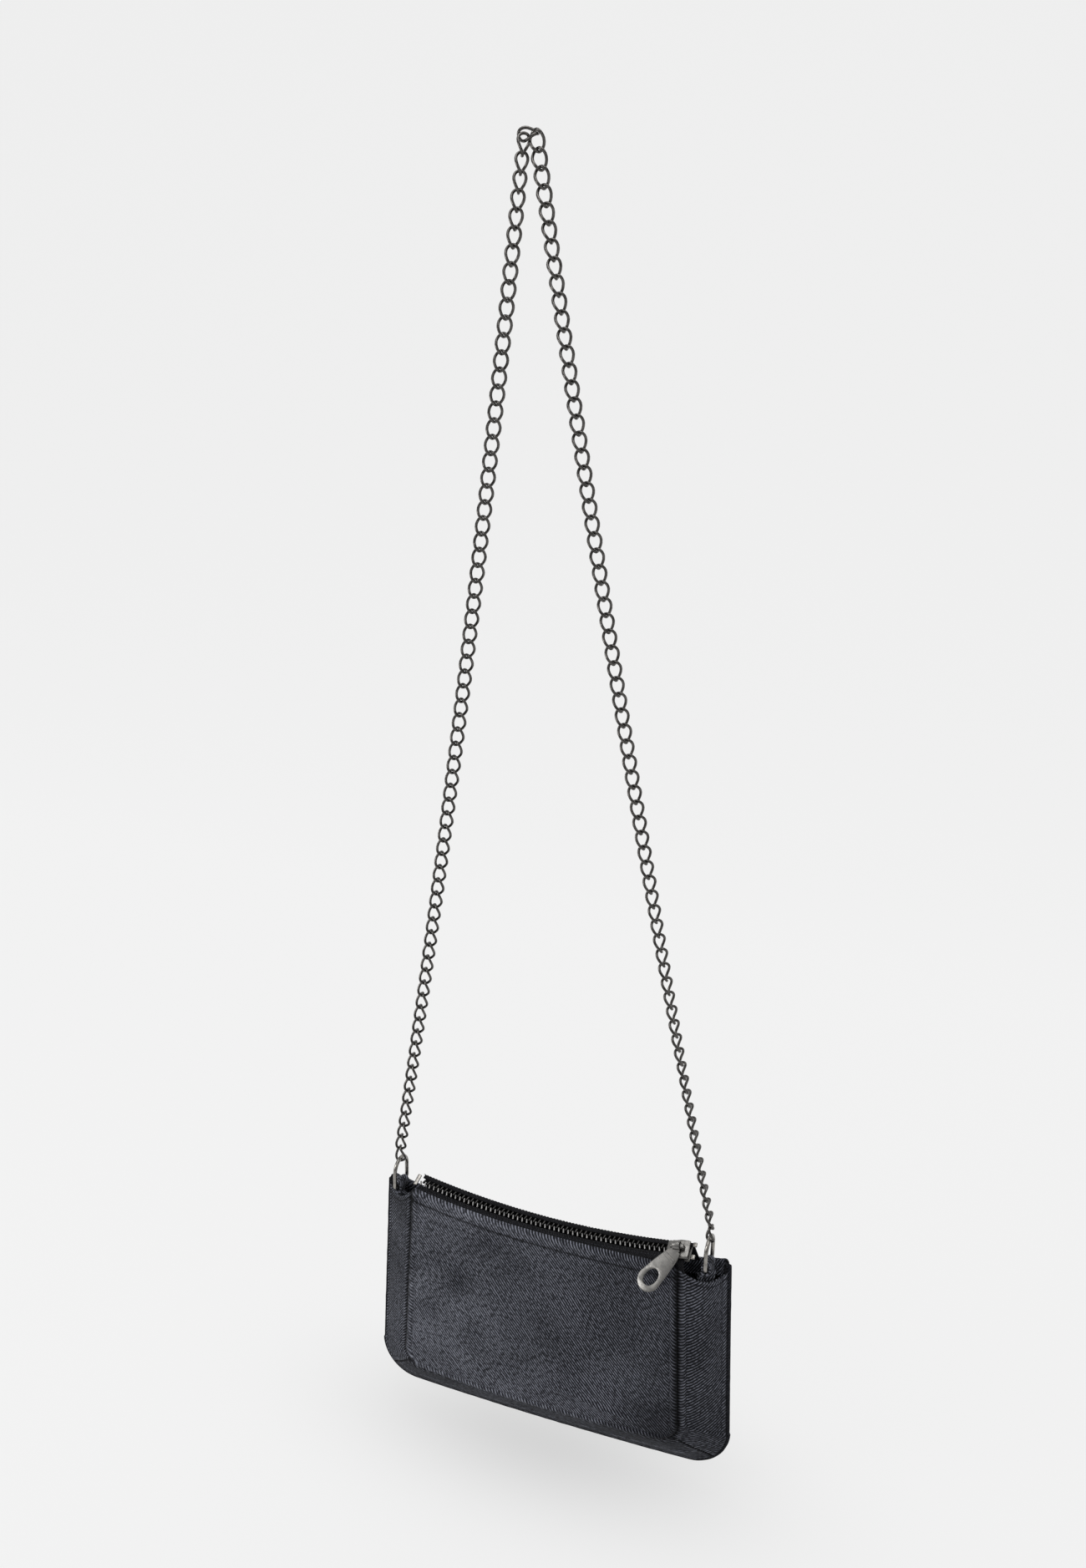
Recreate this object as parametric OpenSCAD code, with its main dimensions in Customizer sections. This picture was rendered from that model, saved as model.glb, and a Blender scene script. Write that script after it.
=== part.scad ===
// Small zipped denim pouch hung from a twisted-link chain strap.
// Lengths are in millimetres, +Z is up and the front faces -Y.
// The origin is the point where a peg bears under the middle link of the strap.

/* [Chain] */
// Distance from one chain link to the next
link_pitch = 7; // [6.8:0.1:7.2]
// Thickness of the chain wire
wire_d = 1.3; // [1.2:0.05:1.35]
// Width of a chain link across its wires
link_w = 7; // [6.6:0.1:7.2]
// Turn from the middle of a link to each of its ends
link_twist = 50; // [46:1:52]
// Links in the left strand, the end link left out
links_left = 69; // [66:1:69]
// Links in the right strand, the end link left out
links_right = 70; // [70:1:72]
// Inward bow of each hanging strand at its middle
strand_bow = 3.4; // [2:0.2:5]

/* [Pouch] */
// Distance between the two rings
ring_span = 167; // [165:1:170]
// Depth of the pouch between its front and back seams
depth = 16; // [15:0.5:17]
// Width of the front panel at its top edge
front_w = 146; // [144:1:148]
// Height of the front panel at its sides
front_h = 108.5; // [106:0.5:112]
// Width of the back panel at its top edge
back_w = 188; // [186:1:190]
// Height of the back panel at its sides
back_h = 124; // [121:1:127]
// How much wider both panels are at the bottom
flare = 7; // [4:1:9]
// Dip of the zip line between its two ends
zip_dip = 6.5; // [5.5:0.5:7.5]
// Thickness of the denim
denim_t = 1.2; // [1:0.1:1.3]

/* [Zip] */
// Distance between teeth on one tape
tooth_pitch = 2.5; // [2.4:0.05:2.6]
// Length of the slider
slider_l = 11; // [10:0.5:12]
// Width of the slider
slider_w = 9; // [8.6:0.2:9.6]
// Length of the pull tab
pull_l = 29; // [26:1:31]
// Width of the pull tab at its round end
pull_w = 11.5; // [10.5:0.5:12.5]

/* [Rings] */
// Thickness of the ring wire
ring_d = 2; // [1.8:0.1:2.1]
// Width of a ring between its wire centres
ring_w = 13; // [12:0.5:14]
// Height of a ring between its wire centres
ring_h = 15; // [14:0.5:16]

/* [Hidden] */
// smoothness of the exact round pieces
round_fn = 72;
// gap between hard pieces that hang in each other
play = 0.12;
// gap between a moving piece and what it slides along
slide_gap = 0.3;
// gap between two layers of cloth
cloth_gap = 0.1;

// chain link: an oval wire loop whose ends are turned against each other
link_half_w = (link_w - wire_d) / 2;
link_half_l = (link_pitch + wire_d + play) / 2;
link_steps = 10;
wire_sides = 5;
oval_share = 0.9;
wire_flat_share = 1.07;

bend_lean = 30;
joint_ball_d = wire_d + 0.06;

// how the first links hang in the middle link: roll of each link, and where the upper bends
// of the first links are, as shares of the link pitch from the middle link's centre
top_link_roll = -32;
first_roll_left = 76.3;
first_roll_right = 14.3;
hook_left_shares = [-0.2277, 0.0612];
hook_right_shares = [0.4609, 0.2237];
hook_mean_share = 0.344;
top_link_low_share = 0.924;
top_link_rise = link_half_w * top_link_low_share + wire_d / 2;
hook_x = hook_mean_share * link_pitch;
strand_top_z = top_link_rise + (hook_left_shares[1] + hook_right_shares[1]) / 2 * link_pitch;

// where the strands end, worked out from the number of links
left_run = links_left * link_pitch;
right_run = links_right * link_pitch;
hang_shift = (right_run * right_run - left_run * left_run) / (2 * (ring_span - 2 * hook_x));
left_side = ring_span / 2 - hang_shift - hook_x;
strand_drop = sqrt(left_run * left_run - left_side * left_side);
strand_end_z = strand_top_z - strand_drop;
ring_top_z = strand_end_z - 2 * link_half_l + (wire_d + ring_d) / 2 + play;
bar_z = ring_top_z - ring_h;

// roll of the strands: pairs of [share of the strand, turn of the link]
roll_left_shares = [[0, first_roll_left], [0.06, 56], [0.18, 26], [0.42, 24], [0.97, -18]];
roll_right_shares = [[0, first_roll_right], [0.08, 52], [0.35, 38], [0.6, 46], [0.85, 90], [1, 98]];
end_roll_left = -20;
end_roll_right = -62;

// pouch levels and planes
pouch_x = hang_shift;
// the pouch sits a little forward, so that its weight is under the rings
weight_shift = 1;
seam_front_y = -depth / 2 - weight_shift;
seam_back_y = depth / 2 - weight_shift;
ring_k = -seam_front_y / depth;
ring_over = 10;
front_corner_z = ring_top_z - ring_over;
front_bottom_z = front_corner_z - front_h;
front_mid_z = front_corner_z - zip_dip;
zip_half = front_w / 2;
zip_r = (zip_half * zip_half + zip_dip * zip_dip) / (2 * zip_dip);
zip_centre_z = front_mid_z + zip_r;
back_drop = 11;
back_top_r = zip_r + back_drop;
back_bottom_z = front_corner_z - 6 - back_h;
front_corner_r = 13;
back_corner_r = 20;
bottom_sag = 1.5;
gusset_bulge = 1.4;
smile = 6;
lining_t = 0.4;
lining_clear = denim_t + 5 * cloth_gap;
binding_w = 3;
binding_front = 1.6;

// zip cross-section, as [y, height above the front fold]
zip_tilt = 30;
zip_y = seam_front_y + 5.4;
zip_rise = 1.8;
tape_t = 0.5;
tape_edge = 1.9;
tape_hidden = 7.5;
tooth_t = 1.1;
tooth_h = 2.4;
tooth_nose = 0.9;
tooth_leg = 3.2;
tooth_slot = tape_t + cloth_gap;
// the zip ends inside the front panel, and before it meets the right ring
zip_inset = 3;
zip_to_ring = 13.5;
zip_end = min(zip_half - zip_inset, ring_span / 2 - zip_to_ring);
slider_x = zip_end;
teeth_from = -zip_end;
teeth_clear = 1.5;
teeth_to = slider_x - teeth_clear;
tooth_count = floor((teeth_to - teeth_from) / tooth_pitch);

echo(str("distance between the rings ", ring_span, ", strap drop ", -ring_top_z));
echo(str("pouch middle ", pouch_x, ", strand end ", strand_end_z, ", bar ", bar_z));
echo(str("zip centre ", zip_centre_z, ", zip radius ", zip_r, ", slider at ", slider_x));
echo(str("pull pivot ", pivot_y, ", ", pivot_rise, ", front fold ", front_mid_z));

function unit(v) = v / norm(v);
function lerp(a, b, k) = a + (b - a) * k;
function signed_power(v, e) = sign(v) * pow(abs(v), e);
function turn_z(p, a) = [p[0] * cos(a) - p[1] * sin(a), p[0] * sin(a) + p[1] * cos(a), p[2]];
function turn_y(p, a) = [p[0] * cos(a) + p[2] * sin(a), p[1], -p[0] * sin(a) + p[2] * cos(a)];

// Twisted link: a point of the wire's centre line, and one of its surface
function link_line(t) =
    let (w = link_half_w * signed_power(sin(t), oval_share))
    let (z = link_half_l * signed_power(cos(t), oval_share))
    turn_z([w, 0, z], -link_twist * z / link_half_l);
function link_point(t, a) =
    let (p = link_line(t), along = unit(link_line(t + 4) - link_line(t - 4)))
    let (out = unit(p - (p * along) * along), side = cross(along, out))
    p + wire_d / 2 * wire_flat_share * (cos(a) * out + sin(a) * side);
function link_points() =
    [for (i = [0:link_steps - 1]) for (j = [0:wire_sides - 1])
        link_point((i + 0.5) * 360 / link_steps, j * 360 / wire_sides)];
function link_faces(first) =
    [for (i = [0:link_steps - 1]) for (j = [0:wire_sides - 1])
        let (a = first + i * wire_sides, b = first + (i + 1) % link_steps * wire_sides)
        let (n = (j + 1) % wire_sides)
        each [[a + j, b + n, a + n], [a + j, b + j, b + n]]];

// Strand: its bowed path from the middle link to the end link
function ring_x(side) = hang_shift + side * ring_span / 2;
function hook_point(side) =
    let (h = (side < 0 ? hook_left_shares : hook_right_shares) * link_pitch)
    [h[0], 0, top_link_rise + h[1]];
function strand_at(side, u) =
    lerp(hook_point(side), [ring_x(side), 0, strand_end_z], u) - [side * 4 * strand_bow * u * (1 - u), 0, 0];
function strand_lean(side, u) =
    let (d = strand_at(side, u + 0.001) - strand_at(side, u - 0.001))
    atan2(-d[0], -d[2]);
module strand(side, count, rolls) {
    run = count * link_pitch;
    shape = link_points();
    size = len(shape);
    places = [for (i = [0:count - 1]) (link_half_l + i * link_pitch) / run];
    polyhedron(
        points = [for (u = places) for (p = shape)
            strand_at(side, u) + turn_y(turn_z(p, lookup(u, rolls)), strand_lean(side, u))],
        faces = [for (i = [0:count - 1]) each link_faces(i * size)],
        convexity = 10);
}

// Round twisted link of eight circular arcs, its long way along Z. An arc is held as its
// first point, its direction there and its last point.
function biarc_mid(p, t, q, u) =
    let (v = q - p, k = 2 * (1 - t * u), b = v * (t + u))
    let (d = (sqrt(b * b + k * (v * v)) - b) / k)
    (p + d * t + q - d * u) / 2;
function arc_side(a) =
    let (c = a[2] - a[0])
    cross(unit(cross(a[1], c)), a[1]);
function arc_r(a) =
    let (c = a[2] - a[0])
    (c * c) / (2 * (arc_side(a) * c));
function arc_angle(a) = 2 * asin(norm(a[2] - a[0]) / (2 * arc_r(a)));
function place(o, x, y, z) =
    [[x[0], y[0], z[0], o[0]], [x[1], y[1], z[1], o[1]], [x[2], y[2], z[2], o[2]], [0, 0, 0, 1]];
function across(t) = unit(cross([0, 0, 1], t));
function flipped(v, f) = [v[0] * f[0], v[1] * f[1], v[2] * f[2]];
quarter_flips = [[1, 1, 1], [-1, -1, 1], [1, -1, -1], [-1, 1, -1]];
arc_trim = 2;
module round_link() {
    end_p = [0, 0, link_half_l];
    end_t = [cos(link_twist), -sin(link_twist), 0];
    side_p = [link_half_w, 0, 0];
    side_t = [0, sin(bend_lean), -cos(bend_lean)];
    mid_p = biarc_mid(end_p, end_t, side_p, side_t);
    chord = unit(mid_p - end_p);
    mid_t = 2 * (end_t * chord) * chord - end_t;
    arcs = [for (f = quarter_flips) for (a = [[end_p, end_t, mid_p], [mid_p, mid_t, side_p]])
        [for (v = a) flipped(v, f)]];
    for (a = arcs)
        multmatrix(place(a[0] + arc_r(a) * arc_side(a), -arc_side(a), a[1], cross(-arc_side(a), a[1])))
            rotate([0, 0, arc_trim])
                rotate_extrude(angle = arc_angle(a) - 2 * arc_trim, $fn = round_fn)
                    translate([arc_r(a), 0])
                        circle(d = wire_d, $fn = round_fn);
    joints = concat(
        [for (f = quarter_flips) [flipped(mid_p, f), flipped(mid_t, f)]],
        [for (f = [quarter_flips[0], quarter_flips[2]]) [flipped(end_p, f), flipped(end_t, f)]],
        [for (f = [quarter_flips[0], quarter_flips[1]]) [flipped(side_p, f), flipped(side_t, f)]]);
    for (j = joints)
        multmatrix(place(j[0], across(j[1]), cross(j[1], across(j[1])), j[1]))
            sphere(d = joint_ball_d, $fn = round_fn);
}

module chain_top_link() {
    color("dimgray")
        translate([0, 0, top_link_rise])
            rotate([0, 90, 0])
                rotate([0, 0, top_link_roll])
                    round_link();
}

module chain_left() {
    color("dimgray") strand(-1, links_left, roll_left_shares);
}

module chain_right() {
    color("dimgray") strand(1, links_right, roll_right_shares);
}

module end_link(side, roll) {
    color("dimgray")
        translate([ring_x(side), 0, strand_end_z - link_half_l])
            rotate([0, 0, roll])
                round_link();
}

module end_link_left() {
    end_link(-1, end_roll_left);
}

module end_link_right() {
    end_link(1, end_roll_right);
}

// Ring: round top, straight bar at the bottom, standing in the YZ plane
module ring(side) {
    color("silver")
        translate([ring_x(side), 0, ring_top_z - ring_w / 2])
            rotate([0, 0, 90])
                ring_shape();
}

module ring_shape() {
    leg = ring_h - ring_w / 2 - ring_corner_r;
    rotate([90, 0, 0])
        rotate_extrude(angle = 180, $fn = round_fn)
            translate([ring_w / 2, 0])
                circle(d = ring_d, $fn = round_fn);
    for (s = [-1, 1])
        translate([s * ring_w / 2, 0, -leg])
            cylinder(d = ring_d, h = leg, $fn = round_fn);
    for (s = [0, 180])
        rotate([0, 0, s])
            translate([ring_w / 2 - ring_corner_r, 0, -leg])
                rotate([90, 90, 0])
                    rotate_extrude(angle = 90, $fn = round_fn)
                        translate([ring_corner_r, 0])
                            circle(d = ring_d, $fn = round_fn);
    translate([ring_corner_r - ring_w / 2, 0, -leg - ring_corner_r])
        rotate([0, 90, 0])
            cylinder(d = ring_d, h = ring_w - 2 * ring_corner_r, $fn = round_fn);
}
ring_corner_r = 2;

module ring_left() {
    ring(-1);
}

module ring_right() {
    ring(1);
}

// Tab: a strip folded over the bar of the ring, its foot sewn inside the gusset
tab_w = ring_w - 2 * ring_corner_r - 2 * slide_gap;
tab_t = 1.2;
tab_neck = 4;
tab_leg = 13;
tab_foot_t = 1.6;
gusset_slant = atan2(depth, (back_w - front_w) / 2);
foot_in = denim_t + cloth_gap + gusset_bulge * 0.4;
module tab(side) {
    inner = ring_d / 2 + slide_gap;
    outer = inner + tab_t;
    mid_x = side_x(ring_k, bar_z - tab_leg);
    color([0.13, 0.14, 0.17]) {
        translate([ring_x(side), tab_w / 2, bar_z])
            rotate([90, 0, 0])
                linear_extrude(height = tab_w)
                    difference() {
                        union() {
                            circle(r = outer, $fn = round_fn);
                            polygon([[-outer * 0.9, -outer * 0.4], [outer * 0.9, -outer * 0.4],
                                [tab_t, -tab_neck], [-tab_t, -tab_neck]]);
                        }
                        circle(r = inner, $fn = round_fn);
                    }
        translate([pouch_x + side * mid_x, 0, bar_z - tab_leg])
            rotate([0, 0, side * gusset_slant])
                translate([-tab_w / 2, foot_in, 0])
                    cube([tab_w, tab_foot_t, tab_leg - tab_neck + 0.6]);
    }
}

module tab_left() {
    tab(-1);
}

module tab_right() {
    tab(1);
}

// Pouch outline between the front seam (k = 0) and the back seam (k = 1), as [x, z] from
// the middle of the pouch. s runs from the top of the side (0) to the middle of the bottom (1).
side_points = 4;
arc_points = 8;
bottom_points = 4;
function half_w(k) = lerp(front_w, back_w, k) / 2;
function low_w(k) = half_w(k) + flare / 2;
function bottom_z(k) = lerp(front_bottom_z, back_bottom_z, k);
function corner_r(k) = lerp(front_corner_r, back_corner_r, k);
function side_top_z(k) =
    lerp(front_corner_z - 1, arc_top_z(back_w / 2, back_top_r) - 4, k) - smile * 4 * k * (1 - k);
function arc_top_z(x, r) = zip_centre_z - sqrt(r * r - x * x);
function bulge(k) = gusset_bulge * 4 * k * (1 - k);
function side_x(k, z) =
    lerp(low_w(k), half_w(k), (z - bottom_z(k)) / (front_corner_z - bottom_z(k))) + bulge(k);
function outline(k, top_z) =
    let (r = corner_r(k), low = bottom_z(k) - bulge(k), arc_z = low + r, arc_x = low_w(k) + bulge(k) - r)
    concat(
        [for (i = [0:side_points - 1])
            let (z = lerp(top_z, arc_z + 0.5, i / (side_points - 1)))
            [side_x(k, z), z]],
        [for (i = [0:arc_points])
            let (a = -90 * i / arc_points)
            [arc_x + r * cos(a), arc_z + r * sin(a)]],
        [for (i = [1:bottom_points])
            let (m = i / bottom_points)
            [arc_x * (1 - m), low - bottom_sag * (1 - (1 - m) * (1 - m))]]);
function both_sides(half) =
    concat(half, [for (i = [len(half) - 2:-1:0]) [-half[i][0], half[i][1]]]);

// Flat panel from its outline, with a dipped top edge of radius top_r
top_points = 12;
function panel_outline(k, top_r, inset) =
    let (half = outline(k, side_top_z(k) - top_r + (k < 1 ? zip_r : back_top_r)))
    let (top_x = half_w(k) - inset - top_round)
    let (body = [for (p = both_sides(half)) shrink(p, inset, k)])
    concat(body, [for (i = [0:top_points])
        let (x = lerp(-top_x, top_x, i / top_points)) [x, arc_top_z(x, top_r)]]);
top_round = 1.5;
function shrink(p, inset, k) =
    inset == 0 ? p :
    [p[0] - sign(p[0]) * inset * min(1, abs(p[0]) / inset), p[1] + inset * (p[1] < bottom_z(k) + corner_r(k) ? 1 : 0)];
module panel(k, top_r, y, t, inset, drop) {
    translate([pouch_x, y + t, 0])
        rotate([90, 0, 0])
            linear_extrude(height = t)
                polygon(panel_outline(k, top_r + drop, inset));
}

module front_panel() {
    color([0.2, 0.21, 0.25])
        panel(0, zip_r, seam_front_y - denim_t, denim_t, 0, 0);
}

module back_panel() {
    color([0.2, 0.21, 0.25])
        panel(1, back_top_r, seam_back_y, denim_t, 0, 0);
}

module lining_front() {
    color("black")
        panel(0, zip_r, seam_front_y + cloth_gap, lining_t, 2, tape_hidden + cloth_gap);
}

module lining_back() {
    color("black")
        panel(1, back_top_r, seam_back_y - cloth_gap - lining_t, lining_t, 3, tape_hidden + cloth_gap);
}

// Cloth patch between the seams: rows of points from front to back, with a real thickness
rows = 2;
skew = norm([depth, (back_w - front_w) / 2]) / depth;
function patch_row(k) =
    [for (p = both_sides(outline(k, side_top_z(k)))) [p[0], lerp(seam_front_y, seam_back_y, k), p[1]]];
function patch_grid(k0, k1) =
    [for (j = [0:rows]) patch_row(lerp(k0, k1, j / rows))];
function cut_rows(g, from, to) = [for (r = g) [for (i = [from:to]) r[i]]];
function at(v, i) = v[max(0, min(len(v) - 1, i))];
function patch_normal(g, j, i) =
    unit(cross(at(at(g, j + 1), i) - at(at(g, j - 1), i), at(at(g, j), i + 1) - at(at(g, j), i - 1)));
function flat_normal(v) = unit([v[0], 0, v[2]]);
function inner_grid(g, t) =
    [for (j = [0:len(g) - 1]) [for (i = [0:len(g[j]) - 1]) g[j][i] + t * skew * flat_normal(patch_normal(g, j, i))]];
module patch(from, to, k0, k1, skip, t) {
    base = patch_grid(k0, k1);
    outer = cut_rows(skip == 0 ? base : inner_grid(base, skip), from, to);
    inner = cut_rows(inner_grid(base, skip + t), from, to);
    m = to - from + 1;
    size = m * (rows + 1);
    function id(j, i, s) = s * size + j * m + i;
    translate([pouch_x, 0, 0])
        polyhedron(
            points = concat([for (r = outer) each r], [for (r = inner) each r]),
            faces = concat(
                [for (j = [0:rows - 1]) for (i = [0:m - 2]) each
                    [[id(j, i, 0), id(j + 1, i, 0), id(j + 1, i + 1, 0)],
                    [id(j, i, 0), id(j + 1, i + 1, 0), id(j, i + 1, 0)],
                    [id(j, i, 1), id(j + 1, i + 1, 1), id(j + 1, i, 1)],
                    [id(j, i, 1), id(j, i + 1, 1), id(j + 1, i + 1, 1)]]],
                [for (i = [0:m - 2]) each
                    [[id(0, i, 0), id(0, i + 1, 1), id(0, i, 1)],
                    [id(0, i, 0), id(0, i + 1, 0), id(0, i + 1, 1)],
                    [id(rows, i, 0), id(rows, i, 1), id(rows, i + 1, 1)],
                    [id(rows, i, 0), id(rows, i + 1, 1), id(rows, i + 1, 0)]]],
                [for (j = [0:rows - 1]) each
                    [[id(j, 0, 0), id(j, 0, 1), id(j + 1, 0, 1)],
                    [id(j, 0, 0), id(j + 1, 0, 1), id(j + 1, 0, 0)],
                    [id(j, m - 1, 0), id(j + 1, m - 1, 1), id(j, m - 1, 1)],
                    [id(j, m - 1, 0), id(j + 1, m - 1, 0), id(j + 1, m - 1, 1)]]]),
            convexity = 6);
}
mitre = side_points + arc_points / 2;
far_mitre = 2 * (side_points + arc_points + bottom_points) - mitre;
last_point = far_mitre + mitre;

module gusset_right() {
    color([0.17, 0.18, 0.22])
        patch(0, mitre, 0, 1, 0, denim_t);
}

module gusset_bottom() {
    color([0.17, 0.18, 0.22])
        patch(mitre, far_mitre, 0, 1, 0, denim_t);
}

module gusset_left() {
    color([0.17, 0.18, 0.22])
        patch(far_mitre, last_point, 0, 1, 0, denim_t);
}

module lining_gusset() {
    color("black")
        patch(1, last_point - 1, 0.05, 0.93, lining_clear, lining_t);
}

// Folded strip that binds the edge of the back panel on three sides
module back_binding() {
    inside = both_sides(outline(1, side_top_z(1)));
    outside = [for (i = [0:len(inside) - 1])
        let (d = at(inside, i + 1) - at(inside, i - 1)) inside[i] + binding_w * unit([-d[1], d[0]])];
    color([0.1, 0.11, 0.13])
        translate([pouch_x, seam_back_y + denim_t + binding_front / 4, 0])
            rotate([90, 0, 0])
                linear_extrude(height = denim_t + binding_front)
                    polygon(concat(inside, [for (i = [len(outside) - 1:-1:0]) outside[i]]));
}

// Turns a profile, given as [y, height above the front fold], about the centre of the zip's arc
module along_zip(from_x, to_x) {
    from_a = asin(from_x / zip_r);
    to_a = asin(to_x / zip_r);
    translate([pouch_x, 0, zip_centre_z])
        rotate([90, 0, 0])
            rotate_extrude(angle = to_a - from_a, start = from_a - 90, $fn = 360)
                children();
}
function ring_profile(line, t) = [for (p = thick_line(line, t)) [zip_r - p[1], -p[0]]];
function thick_line(line, t) =
    let (n = len(line) - 1)
    let (dirs = [for (i = [0:n - 1]) unit(line[i + 1] - line[i])])
    let (offs = [for (i = [0:n])
        let (a = dirs[max(0, i - 1)], b = dirs[min(n - 1, i)], m = unit(a + b))
        t / 2 / (m * b) * [-m[1], m[0]]])
    concat([for (i = [0:n]) line[i] + offs[i]], [for (i = [n:-1:0]) line[i] - offs[i]]);
function zip_point(out) = [zip_y + out * cos(zip_tilt), zip_rise + out * sin(zip_tilt)];

zip_free = 6;
tape_flat = 4.8;
slider_room = 1.3;
back_flat = slider_w / 2 + slider_room;
module zip_tape_front() {
    fold_y = seam_front_y + cloth_gap + tape_t / 2;
    color([0.03, 0.03, 0.035]) {
        along_zip(-zip_end, zip_end)
            polygon(ring_profile([[fold_y, -tape_hidden], [fold_y, -1.3], zip_point(-tape_flat + 0.4)], tape_t));
        along_zip(-zip_end, zip_end + zip_free)
            polygon(ring_profile([zip_point(-tape_flat), zip_point(-tape_edge)], tape_t));
    }
}

module zip_tape_back() {
    back_y = seam_back_y - cloth_gap - tape_t / 2;
    color([0.03, 0.03, 0.035])
        along_zip(-zip_end, zip_end + zip_free)
            polygon(ring_profile([zip_point(tape_edge), zip_point(back_flat),
                [back_y, -back_drop], [back_y, -back_drop - tape_hidden]], tape_t));
}

// One tooth as a slice of the zip, clamped over the edge of its tape
module tooth(side, x) {
    in = tape_edge - cloth_gap;
    half = tooth_h / 2;
    slot = tooth_slot / 2;
    shape = [[-tooth_leg, -half], [-0.4, -half], [tooth_nose, -half * 0.6], [tooth_nose, half * 0.6],
        [-0.4, half], [-tooth_leg, half], [-tooth_leg, slot], [-in, slot], [-in, -slot], [-tooth_leg, -slot]];
    on_zip(x)
        translate([tooth_t / 2, 0, 0])
            rotate([0, -90, 0])
                linear_extrude(height = tooth_t)
                    polygon([for (p = shape) [p[1], side * p[0]]]);
}

// Puts children on the zip's middle line at x, with +Z out of the zip and +Y to the back
module on_zip(x) {
    translate([pouch_x, 0, zip_centre_z])
        rotate([0, -asin(x / zip_r), 0])
            translate([0, zip_y, zip_rise - zip_r])
                rotate([zip_tilt, 0, 0])
                    children();
}

module zip_teeth_front() {
    color("darkgray")
        for (i = [0:tooth_count - 1])
            tooth(1, teeth_from + i * tooth_pitch);
}

module zip_teeth_back() {
    color("darkgray")
        for (i = [0:tooth_count - 1])
            tooth(-1, teeth_from + (i + 0.5) * tooth_pitch);
}

stop_l = 2;
stop_w = 6;
stop_t = 0.9;
module zip_stop_bottom() {
    color("silver")
        on_zip(teeth_from - stop_l)
            translate([-stop_l / 2, -stop_w / 2, tape_t / 2 + cloth_gap])
                cube([stop_l, stop_w, stop_t]);
}

module zip_stops_top() {
    color("silver")
        for (s = [-1, 1])
            on_zip(slider_x + slider_l / 2 + stop_l)
                translate([-stop_l / 2, s * (tape_edge + 1.2) - 1, tape_t / 2 + cloth_gap])
                    cube([stop_l, stop_l, stop_t]);
}

// Slider: an upper and a lower plate, with lips along both sides that keep it on the tapes
plate_t = 0.9;
channel_h = tooth_h + 2 * slide_gap;
lip_t = 0.8;
lip_sink = 0.2;
lip_gap = tape_t + 2 * slide_gap;
module slider_outline() {
    nose = slider_w * 0.36;
    polygon([[-slider_l / 2, -nose], [slider_l * 0.1, -slider_w / 2], [slider_l / 2, -slider_w / 2],
        [slider_l / 2, slider_w / 2], [slider_l * 0.1, slider_w / 2], [-slider_l / 2, nose]]);
}

module slider_body() {
    color("silver")
        on_zip(slider_x) {
            for (s = [-1, 1])
                translate([0, 0, s * (channel_h + plate_t) / 2 - plate_t / 2])
                    linear_extrude(height = plate_t)
                        slider_outline();
            for (s = [-1, 1])
                for (v = [-1, 1])
                    translate([slider_l * 0.1, s * (slider_w - lip_t) / 2 - lip_t / 2,
                        v > 0 ? lip_gap / 2 : -channel_h / 2 - lip_sink])
                        cube([slider_l * 0.39, lip_t, (channel_h - lip_gap) / 2 + lip_sink]);
        }
}

// Bridge: the arch on the slider that holds the pull tab
bar_w = 2;
bar_t = 0.9;
knuckle_clear_r = norm([bar_w, bar_t]) / 2 + slide_gap;
knuckle_r = knuckle_clear_r + 0.9;
bar_up = knuckle_r + slide_gap;
bridge_l = slider_l * 0.66;
module slider_bridge() {
    color("silver")
        on_zip(slider_x)
            translate([0, bar_w / 2, channel_h / 2 + plate_t])
                rotate([90, 0, 0])
                    linear_extrude(height = bar_w)
                        difference() {
                            polygon([[-bridge_l / 2, 0], [-bridge_l * 0.46, bar_up + bar_t / 2],
                                [bridge_l * 0.46, bar_up + bar_t / 2], [bridge_l / 2, 0]]);
                            translate([-bridge_l / 2 + bar_t * 1.2, 0])
                                square([bridge_l - bar_t * 2.4, bar_up - bar_t / 2]);
                        }
}

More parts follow.
